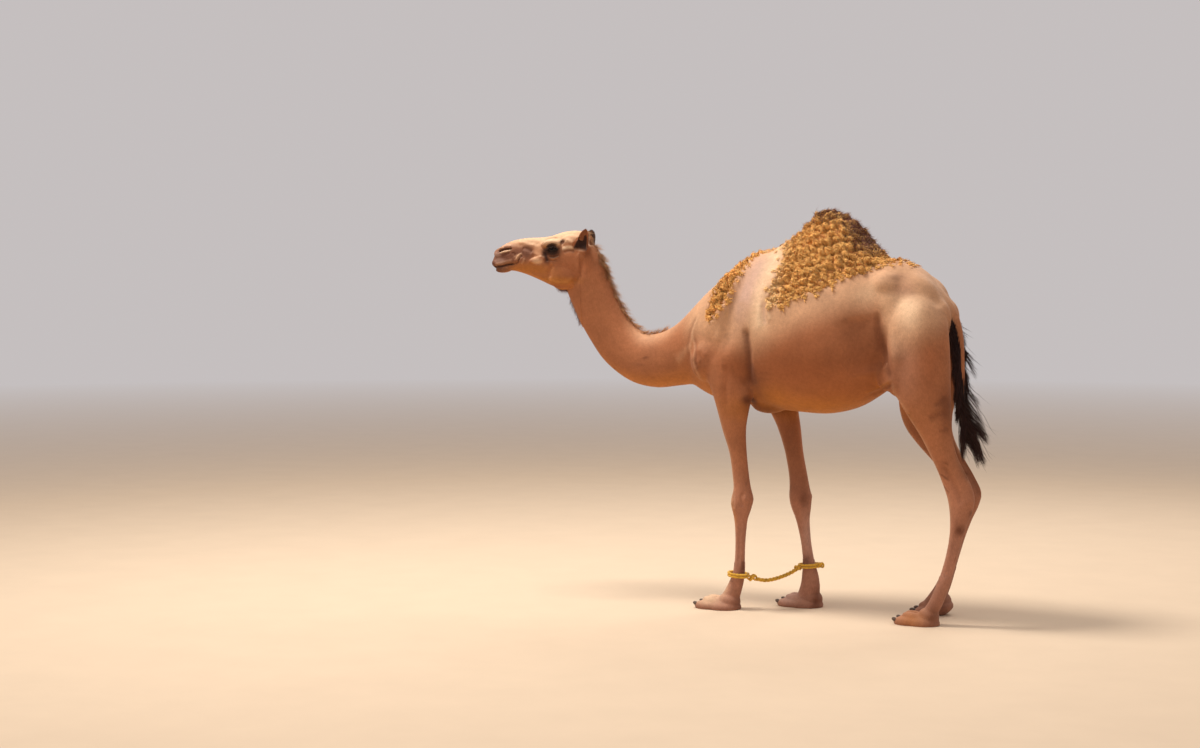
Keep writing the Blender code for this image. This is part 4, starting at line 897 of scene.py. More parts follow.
def open_lids(points):
    """Shapes the lids: a rim round the almond, a fold above and below, and the socket inside."""
    for side in BOTH:
        far, back, up, out = eye_sight(points, side)
        near = np.flatnonzero((far < 0.05) & (out > 0.15))
        gap = lid_gap(back[near], up[near])
        rim = 0.0016 * np.exp(-(((gap - 1.16) / 0.22) ** 2))
        fold = 0.002 * np.exp(-(((gap - 2.0) / 0.3) ** 2)) * (np.abs(back[near]) < 0.022)
        wanted = np.where(gap < 1.0, SOCKET_RADIUS, far[near] + (rim - fold) * ease(out[near], 0.2, 0.5))
        centre = np.array(eye_centre(side))
        points[near] = centre + unit(points[near] - centre) * wanted[:, None]
    return points


def press_folds(shift, points, normals):
    """Folds, lumps and hollows of the body, and the lines of the face."""
    flat = drawn(points)[:, [0, 2]]
    head = on_head(points)
    head_normals = in_head(normals)
    for sides, width, height, _, _, route in BODY_STROKES:
        if height:
            weight = stroke_weight(flat, route, width)
            for side in sides:
                shift += height * weight * facing_out(side, normals[:, 1])
    for sides, x, z, radius, height in BODY_LUMPS:
        weight = np.exp(-(((flat - (x, z)) / radius) ** 2).sum(axis=1))
        for side in sides:
            shift += height * weight * facing_out(side, normals[:, 1])
    for width, height, _, _, route in HEAD_STROKES:
        weight = stroke_weight(head[:, :2], route, width) * (head[:, 0] < 0.56)
        for side in BOTH:
            shift += height * weight * facing_out(side, head_normals[:, 2])


def press_tendons(shift, points, normals):
    """The tendons and the grooves between them, down each cannon."""
    flat = drawn(points)[:, [0, 2]]
    for rows, side in LEGS:
        cannon = [row for row in rows if 0.2 < row[0] < 0.54]
        own = side * points[:, 1] > 0
        for share, width, height in TENDONS:
            route = [(front + share * (rear - front), z) for z, front, rear, _, _ in cannon]
            weight = stroke_weight(flat, route, width) * own
            shift += height * weight * ease(np.abs(normals[:, 1]), 0.1, 0.5)


def press_clefts(shift, points, normals):
    """The cleft between the toes of each foot."""
    for toe_x, heel_x, y, half, _ in FEET.values():
        run = (drawn(points)[:, 0] - toe_x) / (heel_x - toe_x)
        cleft = np.exp(-(((points[:, 1] - y) / 0.007) ** 2)) * ease(-run, -0.55, -0.25) * (run > -0.2)
        cleft *= (points[:, 2] < 0.1) & (np.abs(points[:, 1] - y) < half)
        shift -= CLEFT_DEPTH * cleft * ease(normals[:, 2], -0.3, 0.3)


def carve(points, normals):
    """Presses folds, tendons and the face's lines into the surface."""
    shift = np.zeros(len(points))
    press_folds(shift, points, normals)
    press_tendons(shift, points, normals)
    press_clefts(shift, points, normals)
    on_ear, wide, run, hollow, _ = ear_place(points, normals)
    cup = on_ear * ease(hollow, 0.1, 0.6) * np.clip(1 - wide**2, 0, 1) * ease(-run, -1.0, -0.5)
    shift -= EAR_HOLLOW * cup
    return points + normals * shift[:, None]


def coat_depth(points):
    """How far the skin lies inside the coat's own outline."""
    depth = np.full(len(points), COAT_DEPTH)
    depth = np.where(on_head(points)[:, 0] < 0.5, 0.001, depth)
    depth = np.where(points[:, 2] < 0.25, 0.0015, depth)
    depth *= ease(points[:, 2], 0.0, 0.02)
    return depth + WOOL_DEPTH * ease(wool_cover(points), 0.1, 0.9)


def wool_cover(points):
    """1 where the long wool grows."""
    flat = drawn(points)[:, [0, 2]]
    deep = np.maximum(depth_inside(flat, WOOL_PATCH), depth_inside(flat, SHOULDER_BAND))
    return ease(deep + 0.01 * clumps(points)[0], -0.008, 0.02) * (points[:, 2] > 1.3)


def level_soles(obj):
    """Cuts the feet off flat at the floor."""
    bm = bmesh.new()
    bm.from_mesh(obj.data)
    geometry = bm.verts[:] + bm.edges[:] + bm.faces[:]
    bmesh.ops.bisect_plane(bm, geom=geometry, dist=1e-6, plane_co=(0, 0, 0), plane_no=(0, 0, 1),
                           clear_inner=True)
    bmesh.ops.holes_fill(bm, edges=[edge for edge in bm.edges if edge.is_boundary], sides=0)
    bmesh.ops.triangulate(bm, faces=bm.faces)
    bm.to_mesh(obj.data)
    bm.free()


def triangles_in(mesh):
    return sum(len(face.vertices) - 2 for face in mesh.polygons)


def thin_out(obj, removable, wanted):
    """Collapses the mesh where it is removable, until it has that many triangles."""
    decimate = obj.modifiers.new("thin", "DECIMATE")
    decimate.ratio = wanted / triangles_in(obj.data)
    decimate.vertex_group = weigh(obj, "open", removable.astype(float), 1).name
    settle(obj)
    obj.vertex_groups.clear()


def of_head(points):
    return on_head(points)[:, 0] < 0.6


def unwrapped(obj):
    """Lays the skin's own shape out flat, which the coat's bake maps follow too."""
    bpy.context.view_layer.objects.active = obj
    for other in bpy.context.selected_objects:
        other.select_set(False)
    obj.select_set(True)
    obj.data.uv_layers.new(name="OFBake")
    bpy.ops.object.mode_set(mode="EDIT")
    bpy.ops.mesh.select_all(action="SELECT")
    bpy.ops.uv.smart_project(angle_limit=math.radians(62), island_margin=0.002)
    bpy.ops.object.mode_set(mode="OBJECT")


def paint(mesh, name, colours):
    """Stores a colour for each vertex."""
    layer = mesh.color_attributes.new(name, "FLOAT_COLOR", "POINT")
    filled = np.ones((len(colours), 4), np.float32)
    filled[:, :3] = colours
    layer.data.foreach_set("color", filled.ravel())


def measure(mesh, name, values):
    """Stores a number for each vertex."""
    layer = mesh.attributes.new(name, "FLOAT", "POINT")
    layer.data.foreach_set("value", np.asarray(values, np.float32))


def all_one(tone, count):
    """That tone for each of so many points."""
    return np.tile(np.array(tone), (count, 1))


def mix(colours, colour, weight):
    return colours + (np.array(colour) - colours) * weight[:, None]


def thin_wool(d):
    """1 at the hump wool's front edge, where it is short and pale."""
    return ease(d[:, 0], 0.12, 0.17) * (1 - ease(d[:, 0], 0.25, 0.33))


def plain_tones(d, normals, head, on_face):
    """The broad tones: pale above and in front, ochre beneath, rosy and dark down the legs, with painted
    light and shade among them.
    """
    colours = all_one(TAN, len(d))
    # Pale above the PALE_ABOVE line: partly the coat's own paler top, partly painted sunlight.
    edge = np.interp(d[:, 0], *zip(*PALE_ABOVE))
    above = ease(d[:, 2] - edge, -0.09, 0.09) * ease(d[:, 0], -0.34, -0.2) * (1 - ease(d[:, 0], 1.1, 1.2))
    # Paler on upward faces: partly the coat's own countershading, partly painted light from above.
    upper = ease(normals[:, 2], 0.25, 0.9)
    # Painted highlight on the upward faces of the head.
    crown = ease(normals[:, 2], 0.15, 0.75) * ease(head[:, 0], 0.06, 0.16) * on_face
    # Painted highlight on the forward faces of the legs and chest.
    ahead = ease(-normals[:, 0], 0.35, 0.95) * (1 - ease(d[:, 2], 1.0, 1.25))
    # Ochre on downward faces: partly the coat's own, partly painted light bounced up from the ground.
    under = ease(-normals[:, 2], 0.2, 0.9) * (d[:, 2] > 0.95)
    low = 1 - ease(d[:, 2], 0.3, 1.0)
    # Painted shade on the inner sides of the legs.
    inner_side_shade = ease(-np.sign(d[:, 1]) * normals[:, 1], 0.2, 0.9) * (1 - ease(d[:, 2], 0.95, 1.15))
    for colour, weight in (
        (PALE, 0.92 * above),
        (PALE, 0.7 * upper),
        (CREAM, 0.42 * crown),
        (PALE, 0.55 * ahead),
        (OCHRE, 0.65 * under),
        (ROSY, 0.75 * low),
        (MAUVE, 0.25 * (1 - ease(d[:, 2], 0.05, 0.34)) * (1 - upper)),
        (BROWN, 0.3 * inner_side_shade * ease(d[:, 2], 0.45, 0.75)),
    ):
        colours = mix(colours, colour, weight)
    return colours


def blotched(colours, d, head, head_normals, on_face):
    """The tones with the blotches of body and head over them."""
    for colour, cover, x, z, length, height, lean, sides in BODY_BLOTCHES:
        turn = math.radians(lean)
        along = (d[:, 0] - x) * math.cos(turn) + (d[:, 2] - z) * math.sin(turn)
        over = (d[:, 2] - z) * math.cos(turn) - (d[:, 0] - x) * math.sin(turn)
        weight = np.exp(-((along / length) ** 2 + (over / height) ** 2)) * (1 - on_face)
        for side in sides:
            colours = mix(colours, colour, cover * weight * ease(side * d[:, 1], -0.02, 0.05))
    for colour, cover, back, up, length, height in HEAD_BLOTCHES:
        weight = np.exp(-((((head[:, 0] - back) / length) ** 2 + ((head[:, 1] - up) / height) ** 2) ** 1.6))
        weight *= ease(np.abs(head_normals[:, 2]), 0.0, 0.35) * on_face
        colours = mix(colours, colour, cover * weight)
    return colours


def lined(colours, d, normals, head, head_normals, on_face):
    """The tones with the folds' and the face's own lines over them."""
    flat = d[:, [0, 2]]
    for sides, width, _, cover, colour, route in BODY_STROKES:
        if cover:
            weight = cover * stroke_weight(flat, route, width)
            for side in sides:
                colours = mix(colours, colour, weight * facing_out(side, normals[:, 1]))
    for width, _, cover, colour, route in HEAD_STROKES:
        if cover:
            weight = cover * stroke_weight(head[:, :2], route, width) * on_face
            for side in BOTH:
                colours = mix(colours, colour, weight * facing_out(side, head_normals[:, 2]))
    return colours


def eyes_and_ears(colours, points, normals, head):
    """The tones with dark rims round the eyes, and russet ears with a dark hollow."""
    for side in BOTH:
        far, back, up, out = eye_sight(points, side)
        rim = (1 - ease(lid_gap(back, up), 1.4, 2.4)) * (far < 0.045) * (out > 0.1)
        colours = mix(colours, DARK, 0.92 * rim)
    on_ear, wide, run, hollow, inward = ear_place(points, normals)
    inner = on_ear * ease(hollow + 0.9 * inward, 0.0, 0.3) * (1 - ease(np.abs(wide), 0.98, 1.15))
    behind = wide * np.sign(head[:, 2])
    colours = mix(colours, RUSSET, 0.8 * on_ear)
    colours = mix(colours, BROWN, 0.75 * on_ear * ease(run, 0.62, 0.95))
    colours = mix(colours, DARK, 0.94 * inner)
    return mix(colours, LILAC, 0.18 * inner * np.exp(-(((behind - 0.55) / 0.22) ** 2)))


def markings(points, normals):
    """The coat's colour at each point, with painted light and shade in it, for the skin and for every tuft
    that grows there.
    """
    d = drawn(points)
    head = on_head(points)
    head_normals = in_head(normals)
    on_face = 1 - ease(head[:, 0], 0.52, 0.6)
    colours = plain_tones(d, normals, head, on_face)
    colours = blotched(colours, d, head, head_normals, on_face)
    colours = lined(colours, d, normals, head, head_normals, on_face)
    colours = eyes_and_ears(colours, points, normals, head)
    # Under the wool the skin is painted dark in the gaps between the clumps as shade and bright on their
    # crowns as highlight.
    proud = ease(clumps(points)[0], -1.1, 1.1)
    ground = mix(all_one(WOOL_GAP_SHADE, len(points)), WOOL, proud)
    ground = mix(ground, WOOL_PALE, 0.6 * thin_wool(d))
    cover = 0.92 * wool_cover(points)
    return colours + (ground - colours) * cover[:, None]


def build_skin():
    obj = fused_skin()
    refine(obj)
    points = points_of(obj.data)
    points = carve(points, normals_of(obj.data))
    set_points(obj.data, points)
    normals = normals_of(obj.data)
    lumps = WOOL_LUMPS * clumps(points)[0] * wool_cover(points)
    points = points - normals * (coat_depth(points) - lumps)[:, None]
    set_points(obj.data, open_lids(points))
    head = of_head(points_of(obj.data))
    in_the_head = int(triangles_in(obj.data) * head.mean())
    thin_out(obj, ~head, in_the_head + BODY_SHARE * SKIN_TRIANGLES)
    thin_out(obj, of_head(points_of(obj.data)), SKIN_TRIANGLES)
    level_soles(obj)
    obj.data.shade_smooth()
    unwrapped(obj)
    points, normals = points_of(obj.data), normals_of(obj.data)
    paint(obj.data, "tone", markings(points, normals))
    measure(obj.data, "upright_lie", np.abs(lie_of_coat(points, normals)[:, 2]))
    return obj


# ---- the coat ----
def flattened(ways, normals):
    """The ways, turned to lie flat against the skin."""
    return unit(ways - normals * (ways * normals).sum(axis=1, keepdims=True))


def lie_of_coat(points, normals):
    """Which way the hair runs at each point, flat against the skin."""
    d = drawn(points)
    run = np.zeros_like(points)
    run[:] = (0.88, 0.0, -0.48)
    rows = smooth_rows(NECK)
    centres = rows[:, :3]
    along = np.gradient(centres, axis=0)
    near = ((d[:, None, :] - centres[None]) ** 2).sum(axis=2).argmin(axis=1)
    on_neck = 1 - ease(d[:, 0], -0.3, -0.02)
    towards_trunk = unit(-along[near]) + np.array([0.0, 0.0, -0.25])
    run += (towards_trunk - run) * on_neck[:, None]
    head = on_head(points)
    on_face = 1 - ease(head[:, 0], 0.42, 0.58)
    backwards = np.array(head_way(1.0, -0.22, 0.0))
    run += (backwards - run) * on_face[:, None]
    on_ear = ear_place(points, normals)[0][:, None]
    run += (np.array(head_way(0.1, 1.0, 0.0)) - run) * on_ear
    leg = 1 - ease(d[:, 2], 0.95, 1.35)
    leg *= ease(d[:, 0], -0.35, -0.2)
    run += (np.array([0.1, 0.0, -1.0]) - run) * leg[:, None]
    rump = ease(d[:, 0], 0.75, 1.05) * (1 - leg)
    run += (np.array([0.55, 0.0, -0.85]) - run) * rump[:, None]
    return flattened(run, normals)


class Ground:
    """The skin's triangles, to grow a coat on."""

    def __init__(self, obj):
        mesh = obj.data
        mesh.calc_loop_triangles()
        self.corners = read(mesh.loop_triangles, "vertices", 3, np.int32)
        loops = read(mesh.loop_triangles, "loops", 3, np.int32)
        self.uv = read(mesh.uv_layers["OFBake"].data, "uv", 2).astype(float)[loops]
        self.points = points_of(mesh)
        self.normals = normals_of(mesh)
        a, b, c = (self.points[self.corners[:, i]] for i in range(3))
        self.area = np.linalg.norm(np.cross(b - a, c - a), axis=1) / 2
        self.middle = (a + b + c) / 3
        self.facing = unit(np.cross(b - a, c - a))
        self.drawn = drawn(self.middle)
        self.head = on_head(self.middle)
        self.woolly = wool_cover(self.middle)
        self.left = self.drawn[:, 1] < 0

    def roots(self, seed, cover, count, spacing):
        """Evenly spread roots where cover, a number for each triangle, allows them."""
        rng = np.random.default_rng(seed)
        share = self.area * np.clip(cover, 0, None)
        count = int(count * DENSITY)
        tries = 3 * count
        chosen = rng.choice(len(share), tries, p=share / share.sum())
        first, second = rng.random(tries), rng.random(tries)
        over = first + second > 1
        first[over], second[over] = 1 - first[over], 1 - second[over]
        weights = np.stack([1 - first - second, first, second], axis=1)[:, :, None]
        points = (self.points[self.corners[chosen]] * weights).sum(axis=1)
        normals = unit((self.normals[self.corners[chosen]] * weights).sum(axis=1))
        uv = (self.uv[chosen] * weights).sum(axis=1)
        cells = np.floor(points / spacing).astype(np.int64)
        _, kept = np.unique(cells, axis=0, return_index=True)
        kept = np.sort(rng.permutation(kept)[:count])
        return points[kept], normals[kept], uv[kept], rng


def strands(roots, ways, ups, lengths, rings, rise, sway, drift=None, curl=0.0, turns=1.0, phase=None):
    """The middle line of each tuft: ways is where it points, ups its outward side, rise its lift and fall."""
    s = np.linspace(0, 1, rings + 1)[None, :, None]
    length = lengths[:, None, None]
    sides = np.cross(ups, ways)
    line = roots[:, None] + length * s * ways[:, None]
    line = line + length * (rise[0] * s + rise[1] * s**2) * ups[:, None]
    line = line + length * np.reshape(sway, (-1, 1, 1)) * s**2 * sides[:, None]
    if drift is not None:
        line = line + length * s**2 * drift[:, None]
    if np.any(curl):
        start = np.reshape(phase, (-1, 1, 1))
        angle = 2 * np.pi * turns * s + start
        swing = length * np.reshape(curl, (-1, 1, 1)) * np.sqrt(s)
        line = line + swing * (np.sin(angle) - np.sin(start)) * sides[:, None]
        line = line + 0.7 * swing * (np.cos(angle) - np.cos(start)) * ups[:, None]
    return line


def tuft_points(lines, ups, widths, sides, flat, taper):
    """A ring of points round each line at each step but the last, which is the tip."""
    s = np.linspace(0, 1, lines.shape[1])
    ahead = unit(np.gradient(lines, axis=1))
    across = unit(np.cross(ups[:, None], ahead))
    above = np.cross(ahead, across)
    girth = (widths[:, None] / 2) * (0.75 + 0.25 * np.sin(np.pi * np.minimum(s * 1.6, 1)))[None]
    girth = girth * np.clip(1 - s, 0, 1)[None] ** taper
    angle = 2 * np.pi * (np.arange(sides) + 0.25 * (sides % 2)) / sides
    rings = lines[:, :-1, None] + girth[:, :-1, None, None] * (
        np.cos(angle)[:, None] * across[:, :-1, None] + flat * np.sin(angle)[:, None] * above[:, :-1, None]
    )
    return np.concatenate([rings.reshape(len(lines), -1, 3), lines[:, -1:]], axis=1)


def tuft_faces(rings, sides):
    """The triangles of one closed tuft: its bands, its tip and its root."""
    faces = []
    for ring in range(rings - 1):
        for j in range(sides):
            a, b = ring * sides + j, ring * sides + (j + 1) % sides
            c, d = a + sides, b + sides
            faces += [(a, b, d), (a, d, c)]
    top = (rings - 1) * sides
    for j in range(sides):
        faces.append((top + j, top + (j + 1) % sides, rings * sides))
    for j in range(1, sides - 1):
        faces.append((0, j + 1, j))
    return np.array(faces)


def triangle_mesh(name, points, faces):
    mesh = bpy.data.meshes.new(name)
    mesh.vertices.add(len(points))
    mesh.loops.add(faces.size)
    mesh.polygons.add(len(faces))
    mesh.vertices.foreach_set("co", points.astype(np.float32).ravel())
    mesh.loops.foreach_set("vertex_index", faces.astype(np.int32).ravel())
    mesh.polygons.foreach_set("loop_start", np.arange(0, faces.size, 3, dtype=np.int32))
    mesh.update(calc_edges=True)
    mesh.shade_smooth()
    return mesh


def tufts(name, lines, ups, widths, root_tones, tip_tones, uv, sides=3, flat=0.5, taper=0.8):
    """One mesh of closed, pointed tufts along those middle lines."""
    count, rings = lines.shape[0], lines.shape[1] - 1
    points = tuft_points(lines, ups, widths, sides, flat, taper)
    own = points.shape[1]
    every = (tuft_faces(rings, sides)[None] + own * np.arange(count)[:, None, None]).reshape(-1, 3)
    mesh = triangle_mesh(name, points.reshape(-1, 3), every)
    along = np.append(np.repeat(np.linspace(0, 1, rings + 1)[:-1], sides), 1.0)
    around = np.append(np.tile(np.arange(sides) / max(sides - 1, 1), rings), 0.5)
    tone = root_tones[:, None] + (tip_tones - root_tones)[:, None] * along[None, :, None]
    paint(mesh, "tone", tone.reshape(-1, 3))
    patch = PATCH * np.stack([around - 0.5, along - 0.5], axis=1)
    places = (uv[:, None] + patch[None]).reshape(-1, 2)
    layer = mesh.uv_layers.new(name="OFBake")
    layer.data.foreach_set("uv", places[every.ravel()].astype(np.float32).ravel())
    obj = shown(name, mesh)
    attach(obj, "root")
    return obj


def varied(rng, tones, spread):
    """The tones, each tuft a little lighter or darker."""
    return tones * rng.normal(1.0, spread, (len(tones), 1)).clip(0.55, 1.5)


def turned(ways, ups, angles):
    """The ways, each turned about its up by its own angle."""
    sides = np.cross(ups, ways)
    return ways * np.cos(angles)[:, None] + sides * np.sin(angles)[:, None]


def short_coat(ground, name, seed, cover, count, spacing, length, width, rise=0.09):
    """Short hair that lies along the body and only breaks its outline."""
    points, normals, uv, rng = ground.roots(seed, cover, count, spacing)
    amount = len(points)
    ways = turned(lie_of_coat(points, normals), normals, rng.normal(0, 0.22, amount))
    lengths = length * rng.uniform(0.7, 1.25, amount)
    lines = strands(points - normals * 0.0012, ways, normals, lengths, 2, rise=(rise, -0.35 * rise),
                    sway=rng.normal(0, 0.1, amount))
    lines[:, :, 2] = np.maximum(lines[:, :, 2], LOWEST_HAIR)
    tones = varied(rng, markings(points, normals), 0.07)
    return tufts(name, lines, normals, width * rng.uniform(0.7, 1.2, amount), tones * 0.95, tones * 1.06, uv)


def clumps(points):
    """The hair's clumps and gaps: a smooth uneven field, mostly from -1.5 to 1.5, and the way it rises."""
    rng = np.random.default_rng(61)
    waves = unit(rng.normal(size=(16, 3))) * (2 * np.pi / CLUMP_LENGTH) * rng.uniform(0.7, 1.5, (16, 1))
    along = np.array([0.88, 0.0, -0.48])
    waves -= 0.5 * (waves @ along)[:, None] * along
    angle = points @ waves.T + rng.uniform(0, 2 * np.pi, 16)
    return np.cos(angle).sum(axis=1) / np.sqrt(8), -np.sin(angle) @ waves


def wool(ground, name, seed, cover, count, spacing, length=0.0165, width=0.0068):
    """Matted wool: fine curls that lie close over each clump, with a painted highlight on its crown and
    painted shade in the gaps.
    """
    points, normals, uv, rng = ground.roots(seed, cover, count, spacing)
    amount = len(points)
    height, rising = clumps(points)
    proud = ease(height, -1.2, 1.2)
    outwards = unit(-rising + normals * (rising * normals).sum(axis=1, keepdims=True))
    ways = unit(lie_of_coat(points, normals) + outwards * rng.uniform(0.0, 0.6, (amount, 1)))
    ways = turned(ways, normals, rng.normal(0, 0.62, amount))
    lengths = length * rng.uniform(0.65, 1.4, amount) * (0.7 + 0.5 * proud)
    roots_at = points + normals * (0.005 * proud - 0.002)[:, None]
    lines = strands(roots_at, ways, normals, lengths, 2, rise=(0.36, -0.38),
                    sway=rng.normal(0, 0.3, amount), curl=rng.uniform(0.02, 0.1, amount), turns=0.8,
                    phase=rng.uniform(0, 6.28, amount))
    d = drawn(points)
    # Painted light: tufts on a clump's crown are bright with a painted highlight at their tips, and those in
    # its gaps are painted dark as shade.
    bright = ease(proud + rng.normal(0, 0.14, amount), 0.1, 0.95)
    base = all_one(WOOL_GAP_SHADE, amount)
    tips = mix(mix(base, WOOL, ease(bright, 0.0, 0.45)), WOOL_TIP_HIGHLIGHT, 0.65 * ease(bright, 0.25, 1.0))
    roots = mix(base, WOOL, bright)
    thin = thin_wool(d)
    tips, roots = mix(tips, WOOL_PALE, 0.6 * thin), mix(roots, WOOL_PALE, 0.5 * thin)
    # The crest's dark hair, giving way to ochre on the clumps' crowns as painted highlight.
    dark = ease(depth_inside(d[:, [0, 2]], CREST_PATCH), -0.03, 0.08) * rng.uniform(0.6, 1.4, amount)
    dark = np.clip(dark * 1.35 - 0.75 * proud, 0, 1)
    tips, roots = varied(rng, mix(tips, CREST_TIP, dark), 0.12), mix(roots, CREST, dark)
    return tufts(name, lines, normals, width * rng.uniform(0.6, 1.3, amount), roots, tips, uv,
                 sides=3, flat=0.4, taper=0.38)


def long_hair(ground, name, seed, cover, count, spacing, length, width, ways, rise, root, tip, stand,
              rings, sway=0.22):
    """Longer hair that stands off the skin: ways gives its lie, rise lifts and drops it."""
    points, normals, uv, rng = ground.roots(seed, cover, count, spacing)
    amount = len(points)
    lie = turned(ways(points, normals), normals, rng.normal(0, 0.28, amount))
    rising = clumps(points)[1]
    gather = flattened(rising, normals)
    lie = unit(lie * (1 - stand) + normals * stand * rng.uniform(0.7, 1.3, (amount, 1)) + gather * 0.18)
    ups = unit(normals - lie * (normals * lie).sum(axis=1, keepdims=True))
    lengths = length * rng.uniform(0.5, 1.25, amount)
    lines = strands(points - normals * 0.003, lie, ups, lengths, rings, rise=rise,
                    sway=rng.normal(0, sway, amount), curl=rng.uniform(0, 0.06, amount),
                    phase=rng.uniform(0, 6.28, amount))
    roots = markings(points, normals) if root is None else all_one(root, amount)
    tips = varied(rng, all_one(tip, amount), 0.18)
    return tufts(name, lines, ups, width * rng.uniform(0.6, 1.3, amount), varied(rng, roots, 0.15), tips, uv,
                 sides=3, flat=0.7, taper=0.7)


def short_coats(ground):
    """Short hair on trunk, neck, legs, head and ears, but not on soles, slits and eyes."""
    d, head, middle = ground.drawn, ground.head, ground.middle
    bare = 1 - ease(ground.woolly, 0.4, 0.9)
    ear = ear_place(middle, ground.facing)[0] > 0.35
    face = (head[:, 0] < 0.54) & ~ear
    legs = (d[:, 2] < 1.02) & ~face
    neck = (d[:, 0] < -0.26) & ~face & ~ear
    trunk = ~legs & ~neck & ~face & ~ear
    leg_cover = legs * (middle[:, 2] > 0.012) * ease(d[:, 2], 0.0, 0.35)
    near_eye = np.zeros(len(d), bool)
    for side in BOTH:
        near_eye |= eye_sight(middle, side)[0] < 0.036
    slits = sum(stroke_weight(head[:, :2], HEAD_STROKES[row][4], NO_SLIT) for row in (MOUTH_ROW, NOSTRIL_ROW))
    hairy = ~near_eye * np.clip(1 - 2 * slits, 0, 1) * ease(head[:, 0], 0.0, 0.25)
    left = ground.left
    return [
        short_coat(ground, "coat_trunk_left", 11, bare * trunk * left, 13000, 0.0078, 0.015, 0.0022),
        short_coat(ground, "coat_trunk_right", 12, bare * trunk * ~left, 13000, 0.0078, 0.015, 0.0022),
        short_coat(ground, "coat_neck", 13, 1.0 * neck, 11500, 0.0068, 0.014, 0.0019),
        short_coat(ground, "coat_legs", 14, leg_cover, 14500, 0.0062, 0.011, 0.0017),
        short_coat(ground, "coat_head", 15, face * hairy, 13500, 0.0036, 0.0078, 0.0011, rise=0.12),
        short_coat(ground, "coat_ears", 16, 1.0 * ear, 4200, 0.0026, 0.0075, 0.0009, rise=0.2),
    ]


def matted_wool(ground):
    """Wool on both sides of the hump and, shorter, on the withers."""
    behind = ground.drawn[:, 0] > WITHERS_END
    on_hump = ground.woolly * behind
    return [
        wool(ground, "wool_hump_left", 21, on_hump * ground.left, 18500, 0.0031),
        wool(ground, "wool_hump_right", 22, on_hump * ~ground.left, 18500, 0.0031),
        wool(ground, "wool_withers", 23, ground.woolly * ~behind, 10500, 0.003, length=0.0145, width=0.0048),
    ]


def long_tufts(ground):
    """The hump's dark crest, the mane and dark tuft of the nape, and the tufts of throat and jaw."""
    d, head, facing = ground.drawn, ground.head, ground.facing
    gaps = 0.25 + ease(clumps(ground.middle)[0], -0.6, 0.8)
    crest = ease(depth_inside(d[:, [0, 2]], CREST_PATCH), -0.02, 0.06)
    crest = crest * (1 - 0.88 * ease(np.abs(d[:, 1]), 0.03, 0.12))
    rows = smooth_rows(NECK)
    near = ((d[:, None, :] - rows[None, :, :3]) ** 2).sum(axis=2).argmin(axis=1)
    lean = np.radians(rows[near, 5])
    dorsal = facing[:, 0] * -np.sin(lean) + facing[:, 2] * np.cos(lean)
    across = d[:, 1] - rows[near, 1]
    nape = np.exp(-((across / 0.014) ** 2)) * ease(dorsal, 0.5, 0.9) * (d[:, 0] < -0.43) * (head[:, 0] > 0.5)
    dark_nape = np.exp(-((across / 0.022) ** 2)) * ease(dorsal, 0.2, 0.8) * (head[:, 0] > 0.47)
    dark_nape *= np.exp(-(((d[:, 2] - 1.83) / 0.04) ** 2)) * (d[:, 0] < -0.65) * gaps
    under = np.exp(-((across / 0.016) ** 2)) * ease(-dorsal, 0.45, 0.9) * (d[:, 0] < -0.7)
    throat = under * ease(d[:, 2], 1.5, 1.56) * (1 - ease(d[:, 2], 1.63, 1.68)) * gaps
    jaw = np.exp(-(((head[:, 0] - 0.385) / 0.02) ** 2 + (head[:, 2] / 0.03) ** 2))
    jaw = jaw * ease(-facing[:, 2], 0.5, 0.9)
    throat = throat + 0.9 * jaw * (head[:, 1] < -0.09)
    return [
        long_hair(ground, "hump_crest", 31, crest * gaps, 3600, 0.0042, 0.031, 0.003, lie_of_coat,
                  (0.05, -0.2), CREST, CREST_TIP, stand=0.56, rings=3, sway=0.35),
        long_hair(ground, "nape_mane", 32, nape * gaps, 2000, 0.0029, 0.045, 0.0016, lie_of_coat,
                  (0.0, -0.25), None, MANE_TIP, stand=0.56, rings=4, sway=0.34),
        long_hair(ground, "nape_dark_tuft", 33, dark_nape, 420, 0.0036, 0.03, 0.0026, lie_of_coat,
                  (0.0, -0.15), BROWN, NAPE_TIP, stand=0.45, rings=4),
        long_hair(ground, "throat_tufts", 34, throat, 800, 0.0032, 0.032, 0.0018, hanging,
                  (0.0, 0.1), CREST, THROAT_TIP, stand=0.42, rings=4, sway=0.34),
    ]


def grow_coat(skin):
    ground = Ground(skin)
    return short_coats(ground) + matted_wool(ground) + long_tufts(ground)


def hanging(points, normals):
    """A lie that hangs down, flat against the skin."""
    run = all_one((0.12, 0.0, -1.0), len(points))
    return flattened(run, normals)


# ---- the tail's long hair ----
TAIL_RINGS = 10
FRINGE_LOCKS = 13  # down each edge of the dock
# How far down the dock each lock grows, its side (0 for both), the x, y, z of its end, its hairs, its wave
BRUSH = [
    (0.84, 0, (1.332, -0.015, 0.948), 110, 0.02), (0.88, 0, (1.317, -0.02, 0.838), 120, 0.018),
    (0.9, 0, (1.284, -0.01, 0.83), 80, 0.016), (0.84, -1, (1.228, -0.075, 0.9), 110, 0.01),
    (0.92, 0, (1.205, -0.02, 0.85), 70, 0.008), (0.8, 1, (1.28, 0.03, 0.975), 90, 0.014),
    (0.86, 0, (1.252, 0.02, 0.89), 90, 0.012), (0.6, 1, (1.272, 0.03, 1.118), 34, 0.01),
    (0.46, 1, (1.262, 0.03, 1.27), 22, 0.006), (0.38, 1, (1.25, 0.03, 1.33), 16, 0.004),
]


def dock_at(at):
    """The dock's x, z, half depth and half width at those shares of its length."""
    rows = smooth_rows(DOCK, between=6)
    index = np.clip(at, 0, 1) * (len(rows) - 1)
    return [np.interp(index, np.arange(len(rows)), rows[:, i]) for i in range(4)]


